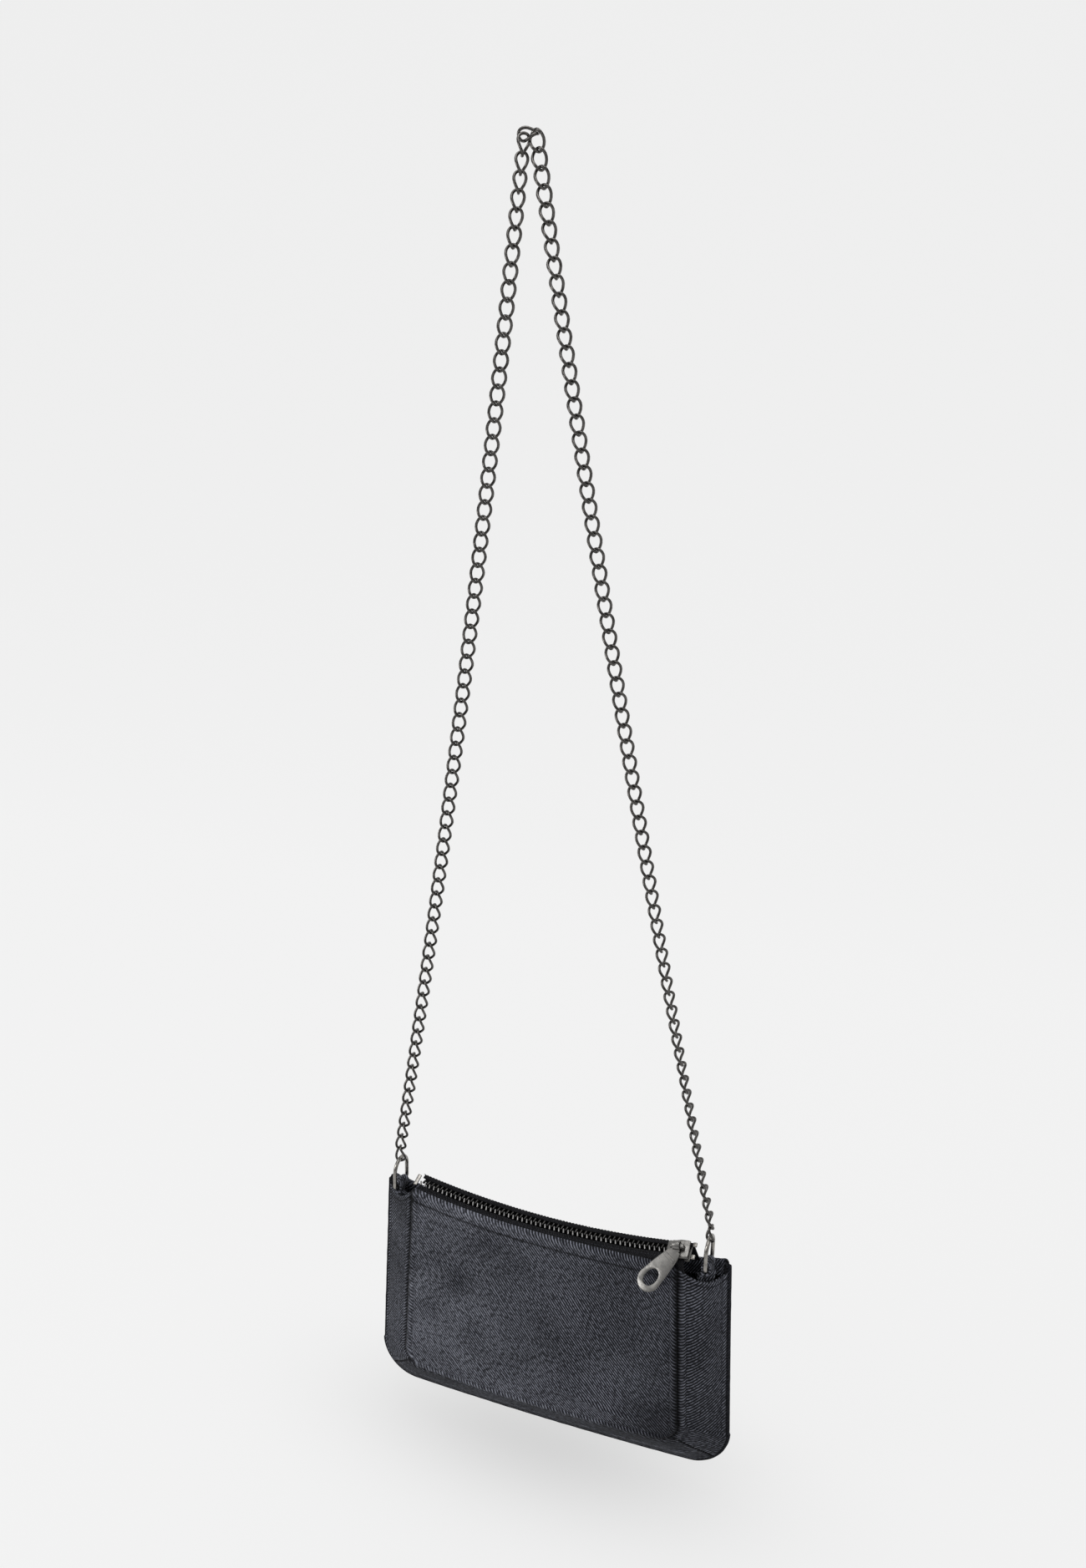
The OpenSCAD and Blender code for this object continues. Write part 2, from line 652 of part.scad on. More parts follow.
// Pull tab: a knuckle round the bridge's bar, and a plate with an oval hole in its round end
pull_t = 1.1;
pull_neck_w = 6.4;
knuckle_l = 3.4;
pull_turn = 40;
pivot_up = channel_h / 2 + plate_t + bar_up;
pivot_y = zip_y - pivot_up * sin(zip_tilt);
pivot_rise = zip_rise + pivot_up * cos(zip_tilt);
pull_lean = atan2(pivot_y - seam_front_y + denim_t + slide_gap + pull_t / 2, pivot_rise) + 4;
module pull_tab() {
    hole_r = pull_w * 0.25;
    end_r = pull_w / 2;
    body_l = pull_l - 2 * knuckle_r - end_r;
    hole_l = 3.2;
    color("silver")
        translate([pouch_x, 0, zip_centre_z])
            rotate([0, -asin(slider_x / zip_r), 0])
                translate([0, pivot_y, pivot_rise - zip_r])
                    rotate([-pull_lean, 0, 0]) {
                        translate([-knuckle_l / 2, 0, 0])
                            rotate([0, 90, 0])
                                difference() {
                                    cylinder(r = knuckle_r, h = knuckle_l, $fn = round_fn);
                                    translate([0, 0, -1])
                                        cylinder(r = knuckle_clear_r, h = knuckle_l + 2, $fn = round_fn);
                                }
                        translate([-knuckle_l / 2, -pull_t / 2, -knuckle_r - 1])
                            cube([knuckle_l, pull_t, knuckle_r + 1 - knuckle_clear_r - 0.2]);
                        translate([0, pull_t / 2, -knuckle_r - 0.3])
                            rotate([0, pull_turn, 0])
                                rotate([90, 0, 0])
                                    linear_extrude(height = pull_t)
                                        difference() {
                                            union() {
                                                translate([0, -body_l])
                                                    circle(r = end_r, $fn = round_fn);
                                                polygon([[-pull_neck_w * 0.36, 0], [pull_neck_w * 0.36, 0],
                                                    [pull_neck_w / 2, -pull_neck_w * 0.3],
                                                    [end_r, -body_l], [-end_r, -body_l],
                                                    [-pull_neck_w / 2, -pull_neck_w * 0.3]]);
                                            }
                                            for (v = [0, hole_l])
                                                translate([0, v - body_l])
                                                    circle(r = hole_r, $fn = round_fn);
                                            translate([-hole_r, -body_l])
                                                square([2 * hole_r, hole_l]);
                                        }
                    }
}

chain_top_link();
chain_left();
chain_right();
end_link_left();
end_link_right();
ring_left();
ring_right();
tab_left();
tab_right();
front_panel();
back_panel();
gusset_left();
gusset_right();
gusset_bottom();
back_binding();
lining_front();
lining_back();
lining_gusset();
zip_tape_front();
zip_tape_back();
zip_teeth_front();
zip_teeth_back();
zip_stop_bottom();
zip_stops_top();
slider_body();
slider_bridge();
pull_tab();
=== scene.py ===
"""Looks of a small zipped denim pouch hung from a twisted-link chain strap."""

import logging
import math
import random
from dataclasses import dataclass
from enum import Enum
from typing import Callable, Sequence

import bmesh
import bpy
from mathutils import Matrix, Vector, noise


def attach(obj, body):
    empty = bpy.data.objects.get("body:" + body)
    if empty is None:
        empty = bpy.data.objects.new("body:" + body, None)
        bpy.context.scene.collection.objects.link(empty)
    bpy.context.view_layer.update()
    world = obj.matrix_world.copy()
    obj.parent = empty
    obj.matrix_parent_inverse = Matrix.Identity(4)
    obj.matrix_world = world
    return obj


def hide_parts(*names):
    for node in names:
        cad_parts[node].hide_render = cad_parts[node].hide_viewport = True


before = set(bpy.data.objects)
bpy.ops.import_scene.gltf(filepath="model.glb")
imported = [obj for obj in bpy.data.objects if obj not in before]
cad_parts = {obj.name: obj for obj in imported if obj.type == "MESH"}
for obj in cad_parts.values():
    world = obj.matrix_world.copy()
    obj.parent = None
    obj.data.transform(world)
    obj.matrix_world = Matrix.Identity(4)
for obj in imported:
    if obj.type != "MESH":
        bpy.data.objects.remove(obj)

log = logging.getLogger("scene")
MM = 0.001
WELD = 2e-6  # metres within which two vertices are one

Flat = tuple[float, float]
Colour = tuple[float, float, float]
Place = tuple[float, float, float]
Hills = tuple[tuple[float, float, float], ...]
Line = Callable[[float], Vector]
Point = Callable[[float, float], Vector]
Marks = Callable[[float, float], tuple[float, float, float]]
Seam = Sequence[tuple[Vector, Vector]]


def lerp(a: float, b: float, k: float) -> float:
    """Value at share k between a and b."""
    return a + (b - a) * k


def clamp(v: float, low: float = 0.0, high: float = 1.0) -> float:
    """v held between low and high."""
    return max(low, min(high, v))


def power(v: float, exponent: float) -> float:
    """Power of v that keeps its sign."""
    return math.copysign(abs(v) ** exponent, v)


def crowd(v: float, exponent: float) -> float:
    """Share from -1 to 1, moved towards the end that it is nearer to."""
    return math.copysign(1 - (1 - abs(v)) ** exponent, v)


def hill(d: float, centre: float, width: float) -> float:
    """Rounded hill of height 1 at a distance from an edge."""
    return math.exp(-(((d - centre) / width) ** 2))


def relief(d: float, hills: Hills) -> float:
    """Sum at distance d of hills and grooves given as (height, centre, width)."""
    return sum(height * hill(d, centre, width) for height, centre, width in hills)


def rough(x: float, y: float, scale: float, seed: float = 0.0) -> float:
    """Smooth noise of about -1 to 1 whose bumps are scale long."""
    return noise.noise(Vector((x / scale, y / scale, seed)))


def move(x: float, y: float, z: float) -> Matrix:
    """Shift in millimetres."""
    return Matrix.Translation((x, y, z))


def turn(degrees: float, axis: str) -> Matrix:
    """Rotation about an axis."""
    return Matrix.Rotation(math.radians(degrees), 4, axis)


def lookup(u: float, table: Sequence[Flat]) -> float:
    """Reads a value off a line through a table's points.

    Args:
        u: where to read.
        table: (place, value) points, with rising places.
    Returns:
        The value at u, held past both ends.
    """
    if u <= table[0][0]:
        return table[0][1]
    for (a, va), (b, vb) in zip(table, table[1:]):
        if u <= b:
            return lerp(va, vb, (u - a) / (b - a))
    return table[-1][1]


def walk(points: Sequence[Vector]) -> Line:
    """Makes a line through points that is followed at an even pace.

    Args:
        points: the line's points in order.
    Returns:
        A function from the share of the line's length to the place there.
    """
    steps = [(b - a).length for a, b in zip(points, points[1:])]
    total = sum(steps)

    def at(share: float) -> Vector:
        """Place at a share of the line's length."""
        left = share * total
        for a, b, step in zip(points, points[1:], steps):
            if left <= step:
                return a.lerp(b, left / step)
            left -= step
        return points[-1].copy()

    return at


def arc(centre: Flat, r: float, start: float, end: float, steps: int) -> list[Flat]:
    """Draws an arc.

    Args:
        centre: its centre.
        r: its radius.
        start: angle of its first point in half turns.
        end: angle of its last point in half turns.
        steps: how many parts it is cut into.
    Returns:
        Its points, one more than its parts.
    """
    angles = [math.pi * lerp(start, end, i / steps) for i in range(steps + 1)]
    return [(centre[0] + r * math.cos(a), centre[1] + r * math.sin(a)) for a in angles]


def rectangle(x0: float, x1: float, y0: float, y1: float) -> list[Flat]:
    """Outline of a rectangle between two places on each axis."""
    return [(x0, y0), (x1, y0), (x1, y1), (x0, y1)]


def rounded(loop: Sequence[Flat], r: float, steps: int = 4) -> list[Flat]:
    """Rounds the corners of an outline.

    Args:
        loop: the outline's corners.
        r: how far from a corner its curve starts.
        steps: how many parts a curve is cut into.
    Returns:
        The rounded outline's points.
    """
    most = 0.45
    done = []
    for i, corner in enumerate(loop):
        here = Vector(corner)
        back = Vector(loop[i - 1]) - here
        ahead = Vector(loop[(i + 1) % len(loop)]) - here
        a = here + back.normalized() * min(r, back.length * most)
        b = here + ahead.normalized() * min(r, ahead.length * most)
        for j in range(steps + 1):
            k = j / steps
            p = a.lerp(here, k).lerp(here.lerp(b, k), k)
            done.append((p.x, p.y))
    return done


class Side(Enum):
    """Side of the bag, with its sign along X."""

    LEFT = -1
    RIGHT = 1

    @property
    def word(self) -> str:
        """The side as the names of pieces and nodes give it."""
        return self.name.lower()


@dataclass(frozen=True)
class Bag:
    """Sizes that several parts of the bag share, in millimetres, in the shared frame."""

    ring_span: float = 167.0
    ring_top_z: float = -481.616
    corner_drop: float = 10.0
    pouch_x: float = 20.998
    front_y: float = -9.0
    back_y: float = 7.0
    front_w: float = 146.0
    front_h: float = 108.5
    back_w: float = 188.0
    back_h: float = 124.0
    denim_t: float = 1.2
    zip_dip: float = 6.5
    back_drop: float = 11.0

    @property
    def corner_z(self) -> float:
        """Height of the front panel's upper corners."""
        return self.ring_top_z - self.corner_drop

    @property
    def zip_half(self) -> float:
        """Half of the zip's length between the front panel's corners."""
        return self.front_w / 2

    @property
    def zip_r(self) -> float:
        """Radius of the dipped zip line."""
        return (self.zip_half**2 + self.zip_dip**2) / (2 * self.zip_dip)

    @property
    def zip_centre_z(self) -> float:
        """Height of the centre of the zip line's arc."""
        return self.corner_z - self.zip_dip + self.zip_r

    def ring_x(self, side: Side) -> float:
        """Place of the ring on one side."""
        return self.pouch_x + side.value * self.ring_span / 2


BAG = Bag()


class Wall(Enum):
    """Panel of the pouch, with its place from the front seam (0) to the back seam (1)."""

    FRONT = 0.0
    BACK = 1.0

    @property
    def word(self) -> str:
        """The wall as the names of pieces and nodes give it."""
        return self.name.lower()

    @property
    def face(self) -> int:
        """Sign of the outer face's direction along Y."""
        return -1 if self is Wall.FRONT else 1

    @property
    def y(self) -> float:
        """Place of the wall's seam."""
        return BAG.front_y if self is Wall.FRONT else BAG.back_y

    @property
    def height(self) -> float:
        """Height of the panel from its top edge to its bottom seam."""
        return BAG.front_h if self is Wall.FRONT else BAG.back_h


@dataclass(frozen=True)
class Outline:
    """Outline of the pouch between its front seam (k = 0) and its back seam (k = 1).

    Share s goes down one half of it, from the top of the side (0) past the ends of the side and
    of the corner's arc to the middle of the bottom (1). Share a goes round the whole, from the
    top of the right side (0) to the top of the left side (1). Sizes are in millimetres, and a
    pair gives the front's and the back's.
    """

    side_end: float = 0.5
    arc_end: float = 0.66
    mitre: float = 0.58
    length: float = 420.0
    flare: float = 7.0
    smile: float = 6.0
    puff: float = 1.4
    sag: float = 1.5
    corner_rs: Flat = (13.0, 20.0)
    side_drops: Flat = (1.0, 4.0)
    back_lower: float = 6.0
    heart_drop: float = 40.0
    probe: float = 0.004

    @property
    def mitres(self) -> Flat:
        """Shares a of the right and left seams over the bottom corners."""
        return self.mitre / 2, 1 - self.mitre / 2

    def on_bottom(self, a: float) -> bool:
        """Whether share a is between the two corner seams."""
        return self.mitres[0] < a < self.mitres[1]

    def half_w(self, k: float) -> float:
        """Half width at the top."""
        return lerp(BAG.front_w, BAG.back_w, k) / 2

    def low_w(self, k: float) -> float:
        """Half width at the bottom."""
        return self.half_w(k) + self.flare / 2

    def bottom_z(self, k: float) -> float:
        """Height of the bottom corners."""
        return BAG.corner_z - lerp(BAG.front_h, self.back_lower + BAG.back_h, k)

    def arc_z(self, x: float, r: float) -> float:
        """Height of an arc of radius r about the zip line's centre."""
        return BAG.zip_centre_z - math.sqrt(r * r - x * x)

    def top_z(self, k: float) -> float:
        """Height of the upper end of the side."""
        front_drop, back_drop = self.side_drops
        back = self.arc_z(BAG.back_w / 2, BAG.zip_r + BAG.back_drop) - back_drop
        return lerp(BAG.corner_z - front_drop, back, k) - self.smile * 4 * k * (1 - k)

    def bulge(self, k: float) -> float:
        """How far the gusset bulges out between its seams."""
        return self.puff * 4 * k * (1 - k)

    def half(self, k: float, s: float, lift: float = 0.0) -> Flat:
        """Finds a point of the right half.

        Args:
            k: place from the front seam to the back seam.
            s: share of the half.
            lift: how far the top of the side is raised.
        Returns:
            The point's (x, z), with x from the pouch's middle.
        """
        r = lerp(*self.corner_rs, k)
        low = self.bottom_z(k) - self.bulge(k)
        arc_z = low + r
        arc_x = self.low_w(k) + self.bulge(k) - r
        if s <= self.side_end:
            z = lerp(self.top_z(k) + lift, arc_z, s / self.side_end)
            share = (z - self.bottom_z(k)) / (BAG.corner_z - self.bottom_z(k))
            return lerp(self.low_w(k), self.half_w(k), share) + self.bulge(k), z
        if s <= self.arc_end:
            a = math.pi / 2 * (s - self.side_end) / (self.arc_end - self.side_end)
            return arc_x + r * math.cos(a), arc_z - r * math.sin(a)
        m = (s - self.arc_end) / (1 - self.arc_end)
        return arc_x * (1 - m), low - self.sag * (1 - (1 - m) ** 2)

    def full(self, k: float, a: float) -> Flat:
        """Point (x, z) at share a of the whole."""
        x, z = self.half(k, 2 * min(a, 1 - a))
        return (x if a <= 0.5 else -x), z

    def outward(self, k: float, a: float) -> Vector:
        """Finds the outward direction in the XZ plane.

        Args:
            k: place from the front seam to the back seam.
            a: share of the whole.
        Returns:
            The direction, of length 1.
        """
        x2, z2 = self.full(k, clamp(a + self.probe))
        x1, z1 = self.full(k, clamp(a - self.probe))
        x, z = self.full(k, a)
        out = Vector((z1 - z2, 0, x2 - x1))
        away = Vector((x, 0, z - (BAG.corner_z - self.heart_drop)))
        return (out if out.dot(away) > 0 else -out).normalized()


OUT = Outline()


@dataclass(frozen=True)
class Settling:
    """How the hanging pouch gives: rises and drops in millimetres, and shares of its width."""

    reach: float = 90.0
    low_rise: float = 2.2
    low_lean: float = 2.3
    back_rise: float = 3.4
    front_drop: float = 3.0
    right_drop: float = 2.6
    top_narrow: float = 0.022
    right_narrow: float = 0.012
    low_narrow: float = 0.006

    def moved(self, p: Vector) -> Vector:
        """Moves a point of the cloth to where it hangs.

        Args:
            p: the point before the pouch settles, in millimetres.
        Returns:
            The point with the low part raised, most on the right, and the upper right corner
            lowered at the front and raised at the back.
        """
        x, z = p.x - BAG.pouch_x, p.z
        t = clamp((BAG.corner_z - z) / BAG.front_h)
        side = x / self.reach
        right = clamp(side)
        low = t * t * (self.low_rise + self.low_lean * side)
        back = self.back_rise * clamp(p.y / BAG.back_y)
        front = self.front_drop * clamp(p.y / BAG.front_y)
        corner = (back - front - self.right_drop) * right**2 * (1 - t)
        tight = self.top_narrow + self.right_narrow * right
        narrow = 1 - tight * (1 - t) - self.low_narrow * t
        return Vector((BAG.pouch_x + x * narrow, p.y, z + low + corner))


HANG = Settling()


class Shape:
    """Makers of mesh objects from sizes in millimetres."""

    # wear_and_shade holds rubbing, and on the panels also painted shade that darkens the right
    # side.
    MARKS = ("wear_and_shade", "seam", "edge")
    FAR = 20.0
    UNMARKED = (0.0, FAR, FAR)
    WIRE_UV = (30.0, 4.0)
    SHARP_ANGLE = 38.0

    @staticmethod
    def add(name: str, bm: bmesh.types.BMesh) -> bpy.types.Object:
        """Turns a bmesh in metres into a smooth object of the scene.

        Args:
            name: name of the object and of its mesh.
            bm: the mesh, freed here.
        Returns:
            The new object, at the origin.
        """
        mesh = bpy.data.meshes.new(name)
        for f in bm.faces:
            f.smooth = True
        bm.to_mesh(mesh)
        bm.free()
        obj = bpy.data.objects.new(name, mesh)
        bpy.context.scene.collection.objects.link(obj)
        return obj

    @staticmethod
    def grid(bm: bmesh.types.BMesh, nu: int, nv: int, point: Point, uv: Point | None = None,
             marks: Marks | None = None) -> list[bmesh.types.BMVert]:
        """Adds a grid whose vertices are put in place by a function of two shares.

        Args:
            bm: mesh that takes the grid.
            nu: faces along the first share.
            nv: faces along the second share.
            point: place at (u, v).
            uv: cloth coordinates at (u, v).
            marks: rubbing with painted shade, distance to the nearest seam and distance to
            the nearest stitched edge, at (u, v).
        Returns:
            The new vertices.
        """
        layer = bm.loops.layers.uv.verify()
        floats = bm.verts.layers.float
        layers = [floats.get(mark) or floats.new(mark) for mark in Shape.MARKS]
        made = bmesh.ops.create_grid(bm, x_segments=nu, y_segments=nv, size=0.5)["verts"]
        shares = {v: (clamp(v.co.x + 0.5), clamp(v.co.y + 0.5)) for v in made}
        for v, (a, b) in shares.items():
            if uv:
                flat = uv(a, b) * MM
                for loop in v.link_loops:
                    loop[layer].uv = (flat.x, flat.y)
            for mark, value in zip(layers, marks(a, b) if marks else Shape.UNMARKED):
                v[mark] = value
        for v, (a, b) in shares.items():
            v.co = point(a, b) * MM
        return made

    @staticmethod
    def surface(name: str, nu: int, nv: int, point: Point, uv: Point | None = None,
                marks: Marks | None = None, weld: bool = False, thick: float = 0.0,
                offset: float = -1.0) -> bpy.types.Object:
        """Makes an object from one grid.

        Args:
            name: name of the object.
            nu: faces along the first share.
            nv: faces along the second share.
            point: place at (u, v).
            uv: cloth coordinates at (u, v).
            marks: rubbing with painted shade, and distances to a seam and to an edge at (u, v).
            weld: whether edges that meet are joined.
            thick: thickness of the cloth, or 0 for none.
            offset: side that the thickness goes to, from -1 to 1.
        Returns:
            The object.
        """
        bm = bmesh.new()
        Shape.grid(bm, nu, nv, point, uv, marks)
        if weld:
            bmesh.ops.remove_doubles(bm, verts=bm.verts, dist=WELD)
            bmesh.ops.recalc_face_normals(bm, faces=bm.faces)
        obj = Shape.add(name, bm)
        if thick:
            solid = obj.modifiers.new("thickness", "SOLIDIFY")
            solid.thickness = thick * MM
            solid.offset = offset
        return obj

    @staticmethod
    def wire(bm: bmesh.types.BMesh, line: Line, r: float, along: int, around: int) -> None:
        """Adds a closed loop of round wire to a mesh.

        Args:
            bm: mesh that takes the wire.
            line: the wire's middle line from 0 to 1.
            r: radius of the wire.
            along: faces along the loop.
            around: faces round the wire.
        """
        middle = sum((line(i / along) for i in range(along)), Vector()) / along

        def point(u: float, v: float) -> Vector:
            """Place on the wire's skin."""
            here = line(u % 1.0)
            ahead = (line((u + 0.004) % 1.0) - line((u - 0.004) % 1.0)).normalized()
            out = here - middle
            out = (out - ahead * out.dot(ahead)).normalized()
            a = v * math.tau
            return here + r * (math.cos(a) * out + math.sin(a) * ahead.cross(out))

        wide, round_ = Shape.WIRE_UV
        made = Shape.grid(bm, along, around, point, lambda u, v: Vector((u * wide, v * round_, 0)))
        bmesh.ops.remove_doubles(bm, verts=made, dist=WELD)

    @staticmethod
    def tube(name: str, line: Line, r: float, along: int, around: int) -> bpy.types.Object:
        """Makes an object from one closed loop of round wire, given as in wire."""
        bm = bmesh.new()
        Shape.wire(bm, line, r, along, around)
        return Shape.add(name, bm)

    @staticmethod
    def plate(name: str, loops: Sequence[Sequence[Flat]], thick: float, bevel: float,
              place: Matrix) -> bpy.types.Object:
        """Makes a flat plate with rounded edges from outlines in its XY plane.

        Args:
            name: name of the object.
            loops: the outer outline, then the holes.
            thick: thickness.
            bevel: radius of the edges.
            place: where the plate's middle goes.
        Returns:
            The plate, at the origin.
        """
        curve = bpy.data.curves.new(name, "CURVE")
        curve.dimensions = "2D"
        curve.fill_mode = "BOTH"
        curve.extrude = (thick / 2 - bevel) * MM
        curve.bevel_depth = bevel * MM
        curve.bevel_resolution = 2
        curve.offset = -bevel * MM
        for loop in loops:
            spline = curve.splines.new("POLY")
            spline.points.add(len(loop) - 1)
            spline.use_cyclic_u = True
            for p, (x, y) in zip(spline.points, loop):
                p.co = (x * MM, y * MM, 0, 1)
        made = bpy.data.objects.new(name, curve)
        bpy.context.scene.collection.objects.link(made)
        bpy.context.view_layer.update()
        shown = made.evaluated_get(bpy.context.evaluated_depsgraph_get())
        mesh = bpy.data.meshes.new_from_object(shown)
        bpy.data.objects.remove(made)
        bpy.data.curves.remove(curve)
        mesh.name = name
        shift = place.copy()
        shift.translation = shift.translation * MM
        bm = bmesh.new()
        bm.from_mesh(mesh)
        bpy.data.meshes.remove(mesh)
        bmesh.ops.remove_doubles(bm, verts=bm.verts, dist=1e-7)
        bm.transform(shift)
        bmesh.ops.recalc_face_normals(bm, faces=bm.faces)
        obj = Shape.add(name, bm)
        obj.data.set_sharp_from_angle(angle=math.radians(Shape.SHARP_ANGLE))
        return obj


@dataclass(frozen=True)
class Stitch:
    """Sizes of a row of thread stitches in millimetres, and their slant in degrees."""

    length: float
    gap: float
    thick: float
    slant: float = 0.0
    play: Flat = (0.92, 1.06)
    seed: int = 7

    def sew(self, name: str, seams: Sequence[Seam]) -> bpy.types.Object:
        """Makes rows of stitches.

        Args:
            name: name of the object.
            seams: for each row, its points, each with the outward direction there.
        Returns:
            The object.
        """
        bm = bmesh.new()
        draw = random.Random(self.seed)
        for seam in seams:
            run = 0.0
            due = 0.0
            for (a, out), (b, _) in zip(seam, seam[1:]):
                step = (b - a).length
                while due < run + step:
                    k = (due - run) / step if step else 0.0
                    length = self.length * draw.uniform(*self.play)
                    self.add(bm, a.lerp(b, k), (b - a).normalized(), out.normalized(), length)
                    due += self.length + self.gap
                run += step
        return Shape.add(name, bm)

    def add(self, bm: bmesh.types.BMesh, at: Vector, along: Vector, up: Vector,
            length: float) -> None:
        """Adds one stitch, sunk at both of its ends.

        Args:
            bm: mesh that takes the stitch.
            at: its middle.
            along: direction of the row.
            up: outward direction.
            length: its own length.
        """
        side = up.cross(along).normalized()
        slant = math.radians(self.slant)
        ahead = (along * math.cos(slant) + side * math.sin(slant)).normalized()
        side = up.cross(ahead).normalized()

        def point(u: float, v: float) -> Vector:
            """Place on the stitch's skin."""
            swell = math.sqrt(max(0.0, 1 - (2 * u - 1) ** 4))
            r = self.thick / 2 * swell
            a = v * math.tau
            return (at + ahead * ((u - 0.5) * length) + up * (self.thick * (swell - 0.75) * 0.6)
                    + side * (math.cos(a) * r) + up * (math.sin(a) * r))

        made = Shape.grid(bm, 5, 6, point, lambda u, v: Vector((u * length, v * 2, 0)))
        bmesh.ops.remove_doubles(bm, verts=made, dist=WELD)


class Sock:
    """Wraps a shader socket so that sums can be written as sums."""

    def __init__(self, tree: bpy.types.NodeTree, out: bpy.types.NodeSocket) -> None:
        """Keeps a node's output and the tree that it is in."""
        self.tree = tree
        self.out = out

    def node(self, kind: str, values: dict | None = None, links: dict | None = None,
             out: int | str = 0) -> "Sock":
        """Adds a node of any kind.

        Args:
            kind: type of the node.
            values: its settings, and constant input values by socket number or name.
            links: its linked inputs by socket number or name.
            out: the output to go on with.
        Returns:
            That output, wrapped.
        """
        n = self.tree.nodes.new(kind)
        for key, value in (values or {}).items():
            if isinstance(key, str) and hasattr(n, key):
                setattr(n, key, value)
            else:
                n.inputs[key].default_value = value
        for key, sock in (links or {}).items():
            sock.feed(n, key)
        return Sock(self.tree, n.outputs[out])

    def feed(self, node: bpy.types.Node, key: int | str) -> None:
        """Links this to an input of a node."""
        self.tree.links.new(self.out, node.inputs[key])

    def apply(self, op: str, *others: "Sock | float") -> "Sock":
        """Adds a Math node.

        Args:
            op: name of its operation.
            others: its second and third values.
        Returns:
            The result.
        """
        values: dict = {"operation": op}
        links: dict = {0: self}
        for i, other in enumerate(others, 1):
            (links if isinstance(other, Sock) else values)[i] = other
        return self.node("ShaderNodeMath", values, links)

    def __add__(self, other: "Sock | float") -> "Sock":
        """This plus other."""
        return self.apply("ADD", other)

    def __sub__(self, other: "Sock | float") -> "Sock":
        """This minus other."""
        return self.apply("SUBTRACT", other)

    def __rsub__(self, other: float) -> "Sock":
        """A number minus this."""
        return self * -1.0 + other

    def __mul__(self, other: "Sock | float") -> "Sock":
        """This times other."""
        return self.apply("MULTIPLY", other)

    def __truediv__(self, other: "Sock | float") -> "Sock":
        """This divided by other."""
        return self.apply("DIVIDE", other)

    __radd__ = __add__
    __rmul__ = __mul__

    def ramp(self, low: float, high: float, to_low: float = 0.0, to_high: float = 1.0) -> "Sock":
        """The value spread from one range to another and held there."""
        values = {1: low, 2: high, 3: to_low, 4: to_high}
        return self.node("ShaderNodeMapRange", values, {0: self})

    def zigzag(self) -> "Sock":
        """Zigzag between 1 at whole numbers and 0 halfway between them."""
        return (self.apply("FRACT") - 0.5).apply("ABSOLUTE") * 2.0

    def bell(self, centre: float, width: float) -> "Sock":
        """Rounded hill of height 1 about one value."""
        away = (self - centre) / width
        return (away * away * -1.0).apply("EXPONENT")

    def split(self) -> tuple["Sock", "Sock", "Sock"]:
        """The three parts of a vector."""
        parts = self.node("ShaderNodeSeparateXYZ", links={0: self}).out.node.outputs
        return Sock(self.tree, parts[0]), Sock(self.tree, parts[1]), Sock(self.tree, parts[2])

    def noise(self, scale: float, detail: float = 2.0, roughness: float = 0.5) -> "Sock":
        """Noise at this place, with scale in bumps per metre."""
        values = {"Scale": scale, "Detail": detail, "Roughness": roughness}
        return self.node("ShaderNodeTexNoise", values, {"Vector": self})

    def mix(self, low: "Sock | Colour", high: "Sock | Colour") -> "Sock":
        """Mixes two colours by this share.

        Args:
            low: colour at 0, constant or linked.
            high: colour at 1, constant or linked.
        Returns:
            The colour.
        """
        values: dict = {"data_type": "RGBA"}
        links: dict = {0: self}
        for key, colour in ((6, low), (7, high)):
            if isinstance(colour, Sock):
                links[key] = colour
            else:
                values[key] = (*colour, 1)
        return self.node("ShaderNodeMix", values, links, 2)

    def bump(self, strength: float, distance: float) -> "Sock":
        """Normal of a surface with this height, with distance in metres."""
        values = {"Strength": strength, "Distance": distance}
        return self.node("ShaderNodeBump", values, {"Height": self})


def new_material(name: str, values: dict) -> tuple[bpy.types.Material, Sock, bpy.types.Node]:
    """Adds a material.

    Args:
        name: name of the material.
        values: constant values of its shader's sockets by name.
    Returns:
        The material, a starting point for nodes, and its shader.
    """
    mat = bpy.data.materials.new(name)
    mat.use_nodes = True
    shader = mat.node_tree.nodes["Principled BSDF"]
    for key, value in values.items():
        shader.inputs[key].default_value = value
    return mat, Sock(mat.node_tree, shader.outputs[0]), shader


class Weave(Enum):
    """Which way the ridges of a cloth run, with their turn in degrees."""

    RIGHT_DOWN = 40
    RIGHT_UP = 37
    FLAT = 14
    TAPE = 45


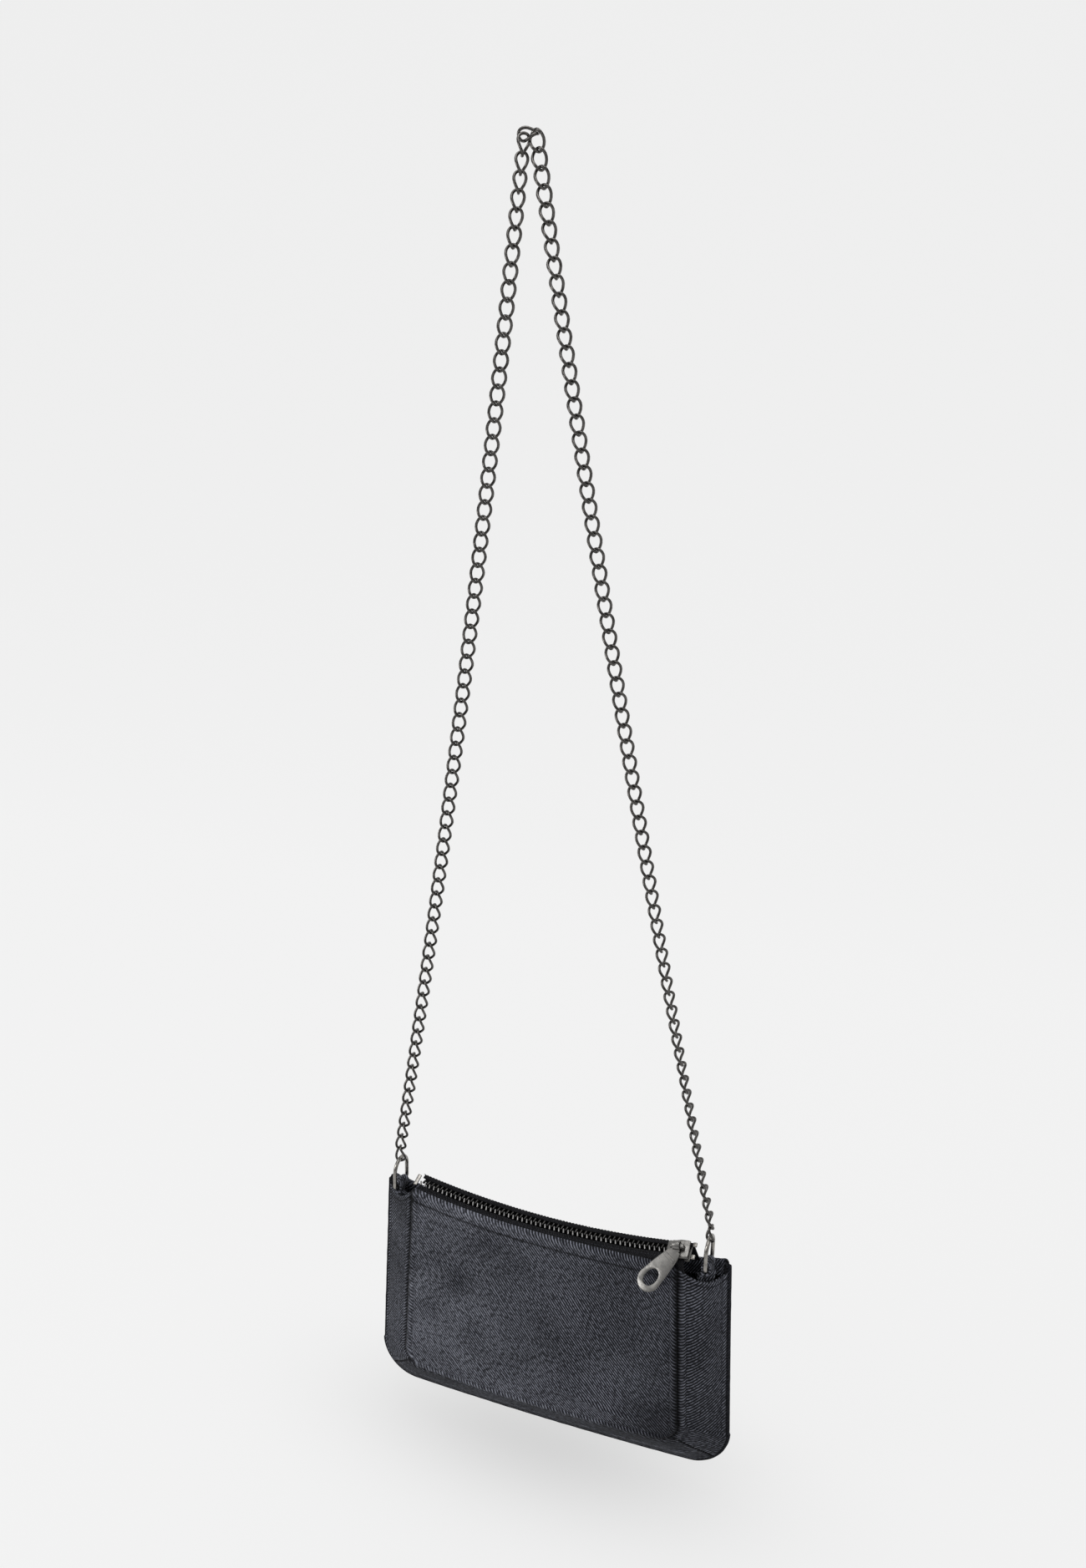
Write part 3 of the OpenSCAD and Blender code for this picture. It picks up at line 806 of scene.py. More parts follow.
@dataclass(frozen=True)
class Cloth:
    """Finish of a woven piece: its colours, its weave and the pitch of its ridges."""

    name: str
    dark: Colour
    light: Colour
    # worn: colour of rubbed cloth, also used for the painted highlights beside seams and along
    # folds.
    worn: Colour
    weave: Weave = Weave.RIGHT_DOWN
    pitch: float = 1.3
    contrast: float = 1.0
    thread_pitch: float = 0.52
    herringbone_w: float = 3.2
    shadow: Colour = (0.0015, 0.0015, 0.002)

    def ridges(self, across: Sock, u: Sock, v: Sock) -> Sock:
        """Draws the weave's ridges.

        Args:
            across: place across slanted ridges, in pitches.
            u: place across the cloth in metres.
            v: place along the cloth in metres.
        Returns:
            Depth between the ridges, 0 on top of them and 1 at the bottom.
        """
        if self.weave is Weave.TAPE:
            step = (u / (self.herringbone_w * MM)).zigzag() * MM
            return ((v + step) / (self.pitch * MM)).zigzag()
        return across.zigzag().apply("SMOOTH_MAX", 0.12, 0.1)

    def build(self) -> bpy.types.Material:
        """Makes the material: dark ridges, pale threads, rubbed edges with painted highlights and
        painted shade in seams.
        """
        mat, start, shader = new_material(self.name, {
            "Sheen Weight": 0.02, "Sheen Roughness": 0.5, "Specular IOR Level": 0.1})
        flat = start.node("ShaderNodeTexCoord", out="UV")
        place = start.node("ShaderNodeTexCoord", out="Object")
        wear_and_shade, seam, edge = (start.node("ShaderNodeAttribute", {"attribute_name": mark}, out="Fac")
                            for mark in Shape.MARKS)

        # Weave
        u, v, _ = flat.split()
        a = math.radians(self.weave.value)
        cos, sin = math.cos(a), math.sin(a)
        wander = flat.noise(60, 2) * (0.4 * self.pitch * MM)
        across = (u * cos + v * sin + wander) / (self.pitch * MM)
        down = v * cos - u * sin
        ridge = self.ridges(across, u, v)
        thread = (u / (self.thread_pitch * MM)).zigzag()
        grain = place.noise(2600, 2, 0.6)
        run = across.node("ShaderNodeCombineXYZ", links={0: across * 1.1, 1: down * 480.0})
        streak = run.noise(1.0, 3, 0.6)
        fleck = ridge.ramp(0.45, 0.7) * streak.ramp(0.38, 0.62, 0.25, 1.5)

        # Wash, painted shade in the seams and on the right, and rubbing with painted highlights
        mottle = place.noise(26, 4, 0.6).ramp(0.4, 0.66)
        patch = place.noise(9, 2, 0.5).ramp(0.42, 0.62)
        # Painted shade: the seam line, a faint row beside it and the stitch line under the fold
        # darken towards the shadow colour.
        seam_shade = seam.bell(0.3, 1.1) + seam.bell(3.6, 0.4) * 0.35 + edge.bell(3.2, 0.5) * 0.8
        # Partly rubbed cloth, partly painted highlight: lighter bands beside the seams and along
        # the fold's edge, plus the wear_and_shade mark, mix towards the worn colour.
        rub_and_highlight = seam.bell(1.7, 0.7) * 0.2 + edge.bell(0.4, 0.9) * 0.25 + wear_and_shade
        rubbed_and_highlit = rub_and_highlight * streak.ramp(0.38, 0.6, 0.15, 1.2)
        # Values of the wear_and_shade mark below 0 are painted shade: they lower the wash and
        # darken the right of the panels.
        wash_and_shade = mottle * 0.35 + patch * 0.3 + wear_and_shade.ramp(-0.3, 0.0, 0.2, 0.45)

        base = (fleck * (wash_and_shade * self.contrast) + mottle * 0.03).mix(self.dark, self.light)
        shown = (rubbed_and_highlit * (fleck * 0.7 + 0.3)).ramp(0.0, 1.0).mix(base, self.worn)
        seam_shade.ramp(0.0, 1.0, 0.0, 0.93).mix(shown, self.shadow).feed(shader, "Base Color")
        (0.93 - rubbed_and_highlit * 0.1).feed(shader, "Roughness")
        height = (1.0 - ridge) * 0.8 + thread * 0.25 + grain * 0.35
        height.bump(0.75, 0.22 * MM).feed(shader, "Normal")
        return mat


@dataclass(frozen=True)
class Metal:
    """Finish of a metal piece, with the colour of its dull spots."""

    name: str
    colour: Colour
    dull: Colour
    rough: float

    def build(self) -> bpy.types.Material:
        """Makes the material: plated metal with faint scratches and dull spots."""
        mat, start, shader = new_material(self.name, {"Metallic": 1.0})
        place = start.node("ShaderNodeTexCoord", out="Object")
        spots = place.noise(420, 3, 0.6)
        fine = place.noise(5200, 2, 0.6)
        spots.ramp(0.42, 0.72).mix(self.colour, self.dull).feed(shader, "Base Color")
        worn = spots.ramp(0.3, 0.7, self.rough * 0.8, self.rough * 1.35)
        (worn + fine * 0.05).feed(shader, "Roughness")
        fine.bump(0.18, 0.06 * MM).feed(shader, "Normal")
        return mat


@dataclass(frozen=True)
class Thread:
    """Finish of the sewing thread, with the length of its twist in millimetres."""

    name: str
    colour: Colour
    rough: float
    ply: float

    def build(self) -> bpy.types.Material:
        """Makes the material, with twisted plies."""
        mat, start, shader = new_material(self.name, {
            "Base Color": (*self.colour, 1), "Roughness": self.rough})
        u, v, _ = start.node("ShaderNodeTexCoord", out="UV").split()
        height = ((u / (self.ply * MM) + v * 500.0) * math.tau).apply("SINE")
        height.bump(0.5, 0.1 * MM).feed(shader, "Normal")
        return mat


@dataclass(frozen=True)
class Backdrop:
    """Finish of the floor, which glows by itself and has the bag's soft shadow drawn on it."""

    name: str
    colour: Colour
    rough: float
    glow: float
    shadow: Colour = (0.76, 0.76, 0.76)
    shadow_y: float = 4.0
    shadow_reach: Flat = (100.0, 45.0)

    def build(self) -> bpy.types.Material:
        """Makes the material."""
        mat, start, shader = new_material(self.name, {
            "Base Color": (*self.colour, 1), "Roughness": self.rough,
            "Emission Strength": self.glow})
        x, y, _ = start.node("ShaderNodeTexCoord", out="Object").split()
        wide, deep = self.shadow_reach
        under = x.bell(BAG.pouch_x * MM, wide * MM) * y.bell(self.shadow_y * MM, deep * MM)
        under.ramp(0.0, 1.0).mix((1, 1, 1), self.shadow).feed(shader, "Emission Color")
        return mat


WASHED = dict(dark=(0.004, 0.0043, 0.006), light=(0.18, 0.188, 0.225), worn=(0.25, 0.26, 0.305))


class Finish(Enum):
    """Finishes of the bag's pieces and of the floor."""

    DENIM = Cloth("denim", **WASHED)
    DENIM_DARK = Cloth("denim_dark", weave=Weave.RIGHT_UP, contrast=0.9, **WASHED)
    # Painted shade: the bottom gusset's denim, with its weave laid flat and its colour held darker
    # by a low contrast, as the underside in shade.
    DENIM_LOW_SHADED = Cloth("denim_low_shaded", weave=Weave.FLAT, contrast=0.45, **WASHED)
    BINDING = Cloth("binding", (0.003, 0.0032, 0.0045), (0.035, 0.037, 0.047),
                    (0.025, 0.027, 0.035), Weave.RIGHT_DOWN, 1.1, 0.8)
    LINING = Cloth("lining", (0.003, 0.003, 0.0035), (0.012, 0.012, 0.013),
                   (0.012, 0.012, 0.013), Weave.FLAT, 0.5, 0.5)
    ZIP_TAPE = Cloth("zip_tape", (0.0035, 0.0035, 0.0042), (0.03, 0.03, 0.034),
                     (0.022, 0.022, 0.025), Weave.TAPE, 0.9, 0.8)
    CHAIN_METAL = Metal("chain_metal", (0.11, 0.105, 0.1), (0.04, 0.038, 0.036), 0.2)
    RING_METAL = Metal("ring_metal", (0.3, 0.287, 0.265), (0.17, 0.163, 0.155), 0.22)
    TOOTH_METAL = Metal("tooth_metal", (0.3, 0.295, 0.29), (0.13, 0.13, 0.13), 0.3)
    TOOTH_SHADED = Metal("tooth_shaded", (0.07, 0.068, 0.066), (0.03, 0.03, 0.03), 0.35)
    SLIDER_METAL = Metal("slider_metal", (0.21, 0.205, 0.195), (0.13, 0.127, 0.122), 0.3)
    THREAD = Thread("thread", (0.012, 0.013, 0.02), 0.7, 0.5)
    FLOOR = Backdrop("floor", (0.04, 0.04, 0.04), 0.9, 0.825)


class Kit:
    """Materials of the bag, and the step that puts a finished piece on its body."""

    RECORD_SLOTS = {Finish.DENIM_LOW_SHADED: "denim_dark", Finish.THREAD: "denim_dark",
                    Finish.TOOTH_SHADED: "tooth_metal"}

    def __init__(self) -> None:
        """Makes every material."""
        self.made = {finish: finish.value.build() for finish in Finish}

    def dress(self, obj: bpy.types.Object, finish: Finish, body: str, *nodes: str) -> None:
        """Gives a piece its finish and its body, and hides the CAD nodes that it stands for.

        Args:
            obj: the piece.
            finish: its finish.
            body: name of the body that it rides on.
            nodes: names of the CAD nodes.
        """
        obj.data.materials.clear()
        obj.data.materials.append(self.made[finish])
        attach(obj, body)
        if nodes:
            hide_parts(*nodes)
        log.info("%s in %s rides on %s", obj.name, finish.value.name, body)

    def dress_all(self, pieces: Sequence[bpy.types.Object], finish: Finish, body: str,
                  node: str) -> None:
        """Dresses the pieces of one CAD node, which the first of them hides.

        Args:
            pieces: the pieces.
            finish: their finish.
            body: name of the body that they ride on.
            node: name of the CAD node.
        """
        for i, obj in enumerate(pieces):
            self.dress(obj, finish, body, *([] if i else [node]))


@dataclass(frozen=True)
class Strand:
    """One hanging side of the strap.

    The hook is the place of its first link's end in pitches from the top link's middle. The
    rolls give the turn of its links in degrees at shares of its length.
    """

    side: Side
    links: int
    hook: Flat
    rolls: tuple[Flat, ...]
    end_roll: float


LEFT_STRAND = Strand(Side.LEFT, 69, (-0.2277, 0.0612),
                     ((0, 76.3), (0.06, 56), (0.18, 26), (0.42, 24), (0.97, -18)), -20.0)
RIGHT_STRAND = Strand(Side.RIGHT, 70, (0.4609, 0.2237),
                      ((0, 14.3), (0.08, 52), (0.35, 38), (0.6, 46), (0.85, 90), (1, 98)), -62.0)


@dataclass
class Chain:
    """Strap of twisted links in two hanging strands, in millimetres and degrees."""

    kit: Kit
    pitch: float = 7.0
    wire_d: float = 1.3
    link_w: float = 7.0
    link_half_l: float = 4.21
    link_twist: float = 50.0
    link_round: float = 0.9
    bow: float = 3.4
    top_roll: float = -32.0
    top_rise: float = 3.2834
    end_z: float = -474.966
    roll_play: float = 1.5
    seed: int = 11

    def link(self, place: Matrix) -> Line:
        """Puts a twisted link in place.

        Args:
            place: where the link's middle goes.
        Returns:
            The middle line of its wire from 0 to 1.
        """
        def line(u: float) -> Vector:
            """Place on the wire's middle line."""
            t = u * math.tau
            w = (self.link_w - self.wire_d) / 2 * power(math.sin(t), self.link_round)
            z = self.link_half_l * power(math.cos(t), self.link_round)
            a = -math.radians(self.link_twist) * z / self.link_half_l
            return place @ Vector((w * math.cos(a), w * math.sin(a), z))

        return line

    def path(self, strand: Strand, u: float) -> Vector:
        """Finds a point of a strand's bowed path.

        Args:
            strand: the strand.
            u: share of its length from the top.
        Returns:
            The point.
        """
        x, z = strand.hook
        start = Vector((x * self.pitch, 0, self.top_rise + z * self.pitch))
        end = Vector((BAG.ring_x(strand.side), 0, self.end_z))
        bow = strand.side.value * 4 * self.bow * u * (1 - u)
        return start.lerp(end, u) - Vector((bow, 0, 0))

    def strand(self, strand: Strand) -> bpy.types.Object:
        """Makes all the links of one strand.

        Args:
            strand: the strand.
        Returns:
            The links as one object.
        """
        bm = bmesh.new()
        draw = random.Random(self.seed + strand.side.value)
        for i in range(strand.links):
            u = (self.link_half_l + i * self.pitch) / (strand.links * self.pitch)
            d = self.path(strand, u + 0.001) - self.path(strand, u - 0.001)
            play = draw.uniform(-self.roll_play, self.roll_play) * (0 < i < strand.links - 1)
            place = (Matrix.Translation(self.path(strand, u))
                     @ Matrix.Rotation(math.atan2(-d.x, -d.z), 4, "Y")
                     @ turn(lookup(u, strand.rolls) + play, "Z"))
            Shape.wire(bm, self.link(place), self.wire_d / 2, 26, 9)
        return Shape.add(f"chain_{strand.side.word}_links", bm)

    def single(self, name: str, place: Matrix) -> bpy.types.Object:
        """Makes one link as an object of its own."""
        return Shape.tube(name, self.link(place), self.wire_d / 2, 26, 9)

    def build(self) -> None:
        """Makes the strands, the two end links and the top link."""
        metal = Finish.CHAIN_METAL
        for strand in (LEFT_STRAND, RIGHT_STRAND):
            word = strand.side.word
            self.kit.dress(self.strand(strand), metal, "strap", f"chain_{word}")
            at = move(BAG.ring_x(strand.side), 0, self.end_z - self.link_half_l)
            end = self.single(f"end_link_{word}_wire", at @ turn(strand.end_roll, "Z"))
            self.kit.dress(end, metal, f"end_link_{word}_body", f"end_link_{word}")
        at = move(0, 0, self.top_rise) @ turn(90, "Y") @ turn(self.top_roll, "Z")
        self.kit.dress(self.single("top_link_wire", at), metal, "strap", "chain_top_link")


@dataclass
class Rings:
    """Wire rings and the denim tabs folded over their bars, in millimetres.

    The legs' share is the part of a tab's strip in each leg, and the wrap is how far past a half
    turn the strip goes round the bar at each end, in half turns.
    """

    kit: Kit
    wire_d: float = 2.0
    width: float = 13.0
    height: float = 15.0
    corner_r: float = 2.0
    tab_w: float = 8.4
    tab_t: float = 1.15
    tab_r: float = 1.95
    tab_leg: float = 13.0
    tab_cloth_l: float = 32.0
    leg_gap: float = 0.72
    leg_share: float = 0.32
    wrap: float = 0.18
    tuck: float = 1.9

    def ring(self, side: Side) -> bpy.types.Object:
        """Makes one ring, round at the top and with a straight bar below.

        Args:
            side: the ring's side of the bag.
        Returns:
            The ring.
        """
        r, c, low = self.width / 2, self.corner_r, -self.height
        bar = (r - c) / 2
        bends = (arc((r - c, low + c), c, -0.5, 0, 8) + arc((0, -r), r, 0, 1, 32)
                 + arc((-r + c, low + c), c, 1, 1.5, 8))
        base = Vector((BAG.ring_x(side), 0, BAG.ring_top_z))
        loop = [(0, low), (bar, low), *bends, (-bar, low), (0, low)]
        line = walk([Vector((0, y, z)) for y, z in loop])
        name = f"ring_{side.word}_wire"
        return Shape.tube(name, lambda u: base + line(u), self.wire_d / 2, 96, 14)

    def strip(self, t: float) -> Flat:
        """Follows a tab's strip up from the gusset, round the bar and down again.

        Args:
            t: share of the strip's length.
        Returns:
            The place (x, z) from the bar's middle.
        """
        leg, wrap = self.leg_share, self.wrap
        if leg < t < 1 - leg:
            a = math.pi * (1 + wrap - (t - leg) / (1 - 2 * leg) * (1 + 2 * wrap))
            return self.tab_r * math.cos(a), self.tab_r * math.sin(a)
        k = (leg - t) / leg if t < 0.5 else (t - 1 + leg) / leg
        x = self.tab_r * math.cos(wrap * math.pi)
        z = -self.tab_r * math.sin(wrap * math.pi)
        x = lerp(self.leg_gap, x, clamp(1 - k * 3.2) ** 1.5)
        return (-x if t < 0.5 else x), lerp(z, -self.tab_leg, k)

    def tab(self, side: Side) -> bpy.types.Object:
        """Makes one tab, whose legs turn into the plane of the gusset.

        Args:
            side: the tab's side of the bag.
        Returns:
            The tab.
        """
        sign = side.value
        slant = math.atan2(BAG.back_w / 2 - BAG.front_w / 2, BAG.back_y - BAG.front_y)
        base = Vector((BAG.ring_x(side), 0, BAG.ring_top_z - self.height))
        inward = Vector((-sign * math.cos(slant), math.sin(slant), 0))

        def point(u: float, v: float) -> Vector:
            """Place on the strip."""
            x, z = self.strip(u)
            share = clamp((-z - 2.2) / 4.5)
            a = -sign * slant * share * share * (3 - 2 * share)
            local = Matrix.Rotation(a, 3, "Z") @ Vector((x, (v - 0.5) * self.tab_w, 0))
            fuzz = 0.12 * rough(u * 60, v * 10, 3.0, sign)
            return (base + local + inward * (self.tuck * clamp((-z - 3.5) / 3.0))
                    + Vector((fuzz, 0, z)))

        def marks(u: float, v: float) -> tuple[float, float, float]:
            """Rubbing over the bar, and the strip's edges."""
            return 0.3 * hill(abs(u - 0.5) * 10, 0, 1.2), Shape.FAR, min(v, 1 - v) * self.tab_w

        def cloth(u: float, v: float) -> Vector:
            """Cloth coordinates."""
            return Vector((v * self.tab_w, u * self.tab_cloth_l, 0))

        return Shape.surface(f"tab_{side.word}_strip", 70, 12, point, cloth, marks,
                             thick=self.tab_t, offset=0.0)

    def build(self) -> None:
        """Makes both rings and both tabs."""
        for side in Side:
            word = side.word
            self.kit.dress(self.ring(side), Finish.RING_METAL, f"ring_{word}_body", f"ring_{word}")
            self.kit.dress(self.tab(side), Finish.DENIM_DARK, "pouch", f"tab_{word}")


@dataclass
class Pouch:
    """Soft shell of the bag: two panels, three gusset pieces, binding and lining.

    Sizes are in millimetres. The belly's top, its length and the loose cloth's length are shares
    of a panel's height, counted from its top edge. The seams are hills and grooves.
    """

    kit: Kit
    hem: float = 7.0
    fold_r: float = 0.92
    panel_t: float = 0.9
    belly: float = 2.7
    belly_top: float = 0.2
    belly_l: float = 0.77
    loose_l: float = 0.16
    crease_drop: float = 88.0
    corner_share: float = 0.015
    topstitch_drop: float = 3.0
    gusset_w: float = 26.4
    gusset_t: float = 1.0
    noise_w: float = 26.0
    cloth_l: float = 440.0
    slope_out: float = 0.62
    slope_front: float = 0.78
    binding_cloth_w: float = 10.0
    lining_t: float = 0.3
    lining_gap: float = 3.0
    panel_ridge: Hills = ((0.6, 1.7, 1.0),)
    panel_groove: Hills = ((-0.6, 0.0, 0.7), (-0.3, 3.6, 0.8))
    front_seam: Hills = ((0.75, 1.8, 1.1), (-0.6, 0.0, 0.8), (-0.35, 3.9, 0.9))
    back_seam: Hills = ((0.5, 1.8, 1.2),)
    mitre_seam: Hills = ((0.45, 1.6, 1.0), (-0.5, 0.0, 0.7))

    @staticmethod
    def pucker(along: float, d: float, amount: float, seed: float) -> float:
        """Height of small gathers that run away from a seam.

        Args:
            along: place along the seam.
            d: distance from the seam.
            amount: height of the gathers at the seam.
            seed: which gathers.
        Returns:
            Their height.
        """
        beat = rough(along, 0, 5.0, seed) + 0.6 * rough(along, 0, 2.6, seed + 9)
        return amount * beat * math.exp(-d / 5.0)

    def on_panel(self, wall: Wall, t: float, u: float) -> tuple[float, float, float, float]:
        """Finds a place on a panel.

        Args:
            wall: the panel.
            t: share from the top edge to the bottom seam.
            u: share across, from -1 to 1.
        Returns:
            The place (x, z), and the distances to the side seams and to the bottom seam.
        """
        k = wall.value
        r = BAG.zip_r + BAG.back_drop * k
        x_top = OUT.half_w(k)
        lift = OUT.arc_z(x_top, r) - OUT.top_z(k) if k else 0.0
        x_side, z_side = OUT.half(k, OUT.arc_end * (1 - (1 - t) ** 1.25), lift)
        over = max(0.0, abs(u) - 1 + self.corner_share) / self.corner_share
        corner = 1.5 * (1 - math.sqrt(max(0.0, 1 - over * over)))
        top = OUT.arc_z(u * x_top, r) - OUT.arc_z(x_top, r) - corner
        sag = OUT.sag * (1 - u * u)
        z = z_side + (1 - t) * top - t * sag
        low = z - (OUT.bottom_z(k) - sag)
        return u * x_side, z, (1 - abs(u)) * x_side, max(low, 0.0)

    def crease(self, wall: Wall, x: float, z: float) -> float:
        """Finds the height of the soft crease low on the right, deeper on the front.

        Args:
            wall: the panel.
            x: place across it, from its middle.
            z: height.
        Returns:
            The crease's height there.
        """
        off = x * 0.24 + (z - BAG.corner_z + self.crease_drop) + 3 * rough(x, 0, 20, 5)
        height = 0.9 if wall is Wall.FRONT else 0.3
        return height * hill(off, 0, 2.4) * clamp((x - 6) / 22) * clamp((62 - x) / 18)

    def panel_point(self, wall: Wall, t: float, u: float) -> Vector:
        """Finds a point of a panel's outer face.

        Args:
            wall: the panel.
            t: share from the top edge to the bottom seam.
            u: share across, from -1 to 1.
        Returns:
            The point where the panel hangs.
        """
        k = wall.value
        x, z, side_d, low_d = self.on_panel(wall, t, u)
        d = min(side_d, low_d)
        full = 1 - abs(u) ** 3.2
        loose = clamp((t - self.belly_top) / self.loose_l)
        belly = math.sin(math.pi * clamp((t - self.belly_top) / self.belly_l)) ** 0.8
        dents = 0.8 * rough(x, z, 34, 3 + k) + 0.35 * rough(x, z, 13, 8 + k)
        depth = full * (self.belly * belly + loose * dents) + self.crease(wall, x, z)
        depth += loose * relief(d, self.panel_ridge) + relief(d, self.panel_groove)
        depth += loose * self.pucker(z if side_d < low_d else x, d, 0.15, 21 + k)
        y = wall.y + wall.face * (BAG.denim_t + depth)
        return HANG.moved(Vector((BAG.pouch_x + x, y, z)))

    @staticmethod
    def rubbing_and_side_shade(x: float, z: float) -> float:
        """Finds how rubbed a panel's face is: patchy on the left and low down, with painted shade
        on the right.

        Args:
            x: place across the panel, from its middle.
            z: height.
        Returns:
            The rubbing, below 0 on the right, where painted shade darkens the face.
        """
        left = 0.6 * clamp((20 - x) / 75) * clamp(0.55 + 0.8 * rough(x, z, 18, 2))
        # Painted shade: the right of the panel is darkened below unrubbed cloth, as the side away
        # from the light.
        right = 0.3 * clamp((x - 20) / 45)
        low = 0.2 * clamp((BAG.corner_z - 66 - z) / 36) * clamp(0.5 + rough(x, z, 14, 6))
        return left - right + low

    def panel(self, wall: Wall) -> bpy.types.Object:
        """Makes a panel: an inner hem, a rounded fold at the top and the outer face.

        Args:
            wall: which panel.
        Returns:
            The panel.
        """
        fold_l = math.pi * self.fold_r
        total = self.hem + fold_l + wall.height
        hem_v, fold_v = self.hem / total, (self.hem + fold_l) / total

        def shares(a: float, v: float) -> Flat:
            """Shares (t, u) of the outer face, with the faces crowded near the seams."""
            w = clamp((v - fold_v) / (1 - fold_v))
            return lerp(w, 1 - (1 - w) ** 1.7, 0.75), crowd(2 * a - 1, 1.6)

        def point(a: float, v: float) -> Vector:
            """Place on the hem, the fold or the outer face."""
            top = self.panel_point(wall, *shares(a, v))
            if v >= fold_v:
                return top
            if v >= hem_v:
                w = math.pi * (fold_v - v) / (fold_v - hem_v)
                inward = self.fold_r * (1 - math.cos(w))
                return top + Vector((0, -wall.face * inward, self.fold_r * math.sin(w) * 0.8))
            return top + Vector((0, -wall.face * 2 * self.fold_r, -(hem_v - v) * total))

        def cloth(a: float, v: float) -> Vector:
            """Cloth coordinates, which go on over the fold."""
            x, z, _, _ = self.on_panel(wall, *shares(a, v))
            return Vector((x, z - BAG.corner_z + max(0.0, fold_v - v) * total, 0))

        def marks(a: float, v: float) -> tuple[float, float, float]:
            """Rubbing with painted side shade, distance to the seams and distance below the fold.
            """
            t, u = shares(a, v)
            x, z, side_d, low_d = self.on_panel(wall, t, u)
            drop = (v - fold_v) * total if v < fold_v else t * wall.height
            return self.rubbing_and_side_shade(x, z), min(side_d, low_d), drop

        return Shape.surface(f"{wall.word}_panel_cloth", 150, 130, point, cloth, marks,
                             thick=self.panel_t, offset=wall.face)

    @staticmethod
    def bottom_ridge(along: float, d: float, width: float) -> float:
        """Soft ridge of height 1 along the bottom, at distance d from the front seam."""
        return hill(d, 15 + 2 * rough(along, 0, 30, 37), width)

    def gusset_point(self, a: float, b: float) -> Vector:
        """Finds a point of the gusset's outer face.

        Args:
            a: share along the gusset.
            b: share from the front seam to the back seam.
        Returns:
            The point where the gusset hangs.
        """
        x, z = OUT.full(b, a)
        out = OUT.outward(b, a)
        slope = Vector((out.x * self.slope_out, -self.slope_front, out.z * self.slope_out))
        front_d, back_d = b * self.gusset_w, (1 - b) * self.gusset_w
        along, over = a * OUT.length, b * self.noise_w
        dents = 0.5 * rough(along, over, 15, 33) + 0.25 * rough(along, over, 6, 35)
        rise = relief(front_d, self.front_seam) + relief(back_d, self.back_seam)
        rise += self.pucker(along, min(front_d, back_d), 0.18, 31)
        rise += dents * 4 * b * (1 - b)
        rise += sum(relief(abs(a - m) * OUT.length, self.mitre_seam) for m in OUT.mitres)
        if OUT.on_bottom(a):
            rise += 0.35 * self.bottom_ridge(along, front_d, 1.2)
        at = Vector((BAG.pouch_x + x, lerp(BAG.front_y, BAG.back_y, b), z))
        return HANG.moved(at) + slope * rise

    def gusset(self, word: str, start: float, end: float, faces: int) -> bpy.types.Object:
        """Makes one piece of the gusset.

        Args:
            word: what its name says after gusset.
            start: share of the gusset where it starts.
            end: share of the gusset where it ends.
            faces: faces along it.
        Returns:
            The piece.
        """
        def shares(a: float, b: float) -> Flat:
            """Shares of the whole gusset, with the faces crowded near the seams."""
            return lerp(start, end, a), 0.5 + 0.5 * crowd(2 * b - 1, 1.35)

        def point(a: float, b: float) -> Vector:
            """Place on the outer face."""
            return self.gusset_point(*shares(a, b))

        def cloth(a: float, b: float) -> Vector:
            """Cloth coordinates."""
            s, over = shares(a, b)
            return Vector((over * self.gusset_w, s * self.cloth_l, 0))

        def marks(a: float, b: float) -> tuple[float, float, float]:
            """Rubbing, and distances to the nearest seam and to the gusset's ends."""
            s, over = shares(a, b)
            along = s * OUT.length
            front_d, back_d = over * self.gusset_w, (1 - over) * self.gusset_w
            mitre_d = min(abs(s - m) for m in OUT.mitres) * OUT.length
            wear_and_shade = 0.5 * self.bottom_ridge(along, front_d, 1.3) if OUT.on_bottom(s) else 0.0
            wear_and_shade *= clamp(0.7 + rough(along, b * self.noise_w, 7, 41))
            return wear_and_shade, min(front_d, back_d, mitre_d), min(s, 1 - s) * OUT.length

        return Shape.surface(f"gusset_{word}_cloth", faces, 40, point, cloth, marks,
                             thick=self.gusset_t, offset=1.0)

    def binding(self) -> bpy.types.Object:
        """Makes the folded strip round the edge of the back panel, closed at its two ends."""

        def point(a: float, v: float) -> Vector:
            """Place on the strip's skin."""
            x, z = OUT.full(1.0, a)
            end_d = min(a, 1 - a) * OUT.length
            ride_up = 3.4 * clamp(1 - end_d / 30)
            rim = HANG.moved(Vector((BAG.pouch_x + x, BAG.back_y + 0.2, z + ride_up)))
            fat = math.sqrt(clamp(end_d / 1.4)) * (1 + 0.07 * rough(a * OUT.length, v * 4, 5, 51))
            w = v * math.tau
            radial = 0.5 + 1.5 * power(math.cos(w), 0.75) * fat
            return (rim + OUT.outward(1.0, a) * radial
                    + Vector((0, 1.6 * power(math.sin(w), 0.75) * fat, 0)))

        def cloth(a: float, v: float) -> Vector:
            """Cloth coordinates."""
            return Vector((v * self.binding_cloth_w, a * self.cloth_l, 0))

        def marks(a: float, v: float) -> tuple[float, float, float]:
            """Rubbing along the rim, in patches."""
            patch = clamp(0.6 + rough(a * OUT.length, 0, 8, 53))
            return 0.4 * hill(min(v, 1 - v), 0, 0.1) * patch, Shape.FAR, Shape.FAR

        return Shape.surface("binding_strip", 320, 14, point, cloth, marks, weld=True)

    def lining(self) -> bpy.types.Object:
        """Makes the lining's gusset part, just inside the denim."""
        middle = Vector((BAG.pouch_x, 0, BAG.corner_z - 55))

        def point(a: float, b: float) -> Vector:
            """Place on the lining."""
            p = self.gusset_point(lerp(0.045, 0.955, a), lerp(0.06, 0.92, b))
            return p + (middle - p).normalized() * self.lining_gap

        return Shape.surface("lining_gusset_cloth", 120, 8, point,
                             lambda a, b: Vector((b * 24, a * 400, 0)), thick=self.lining_t)

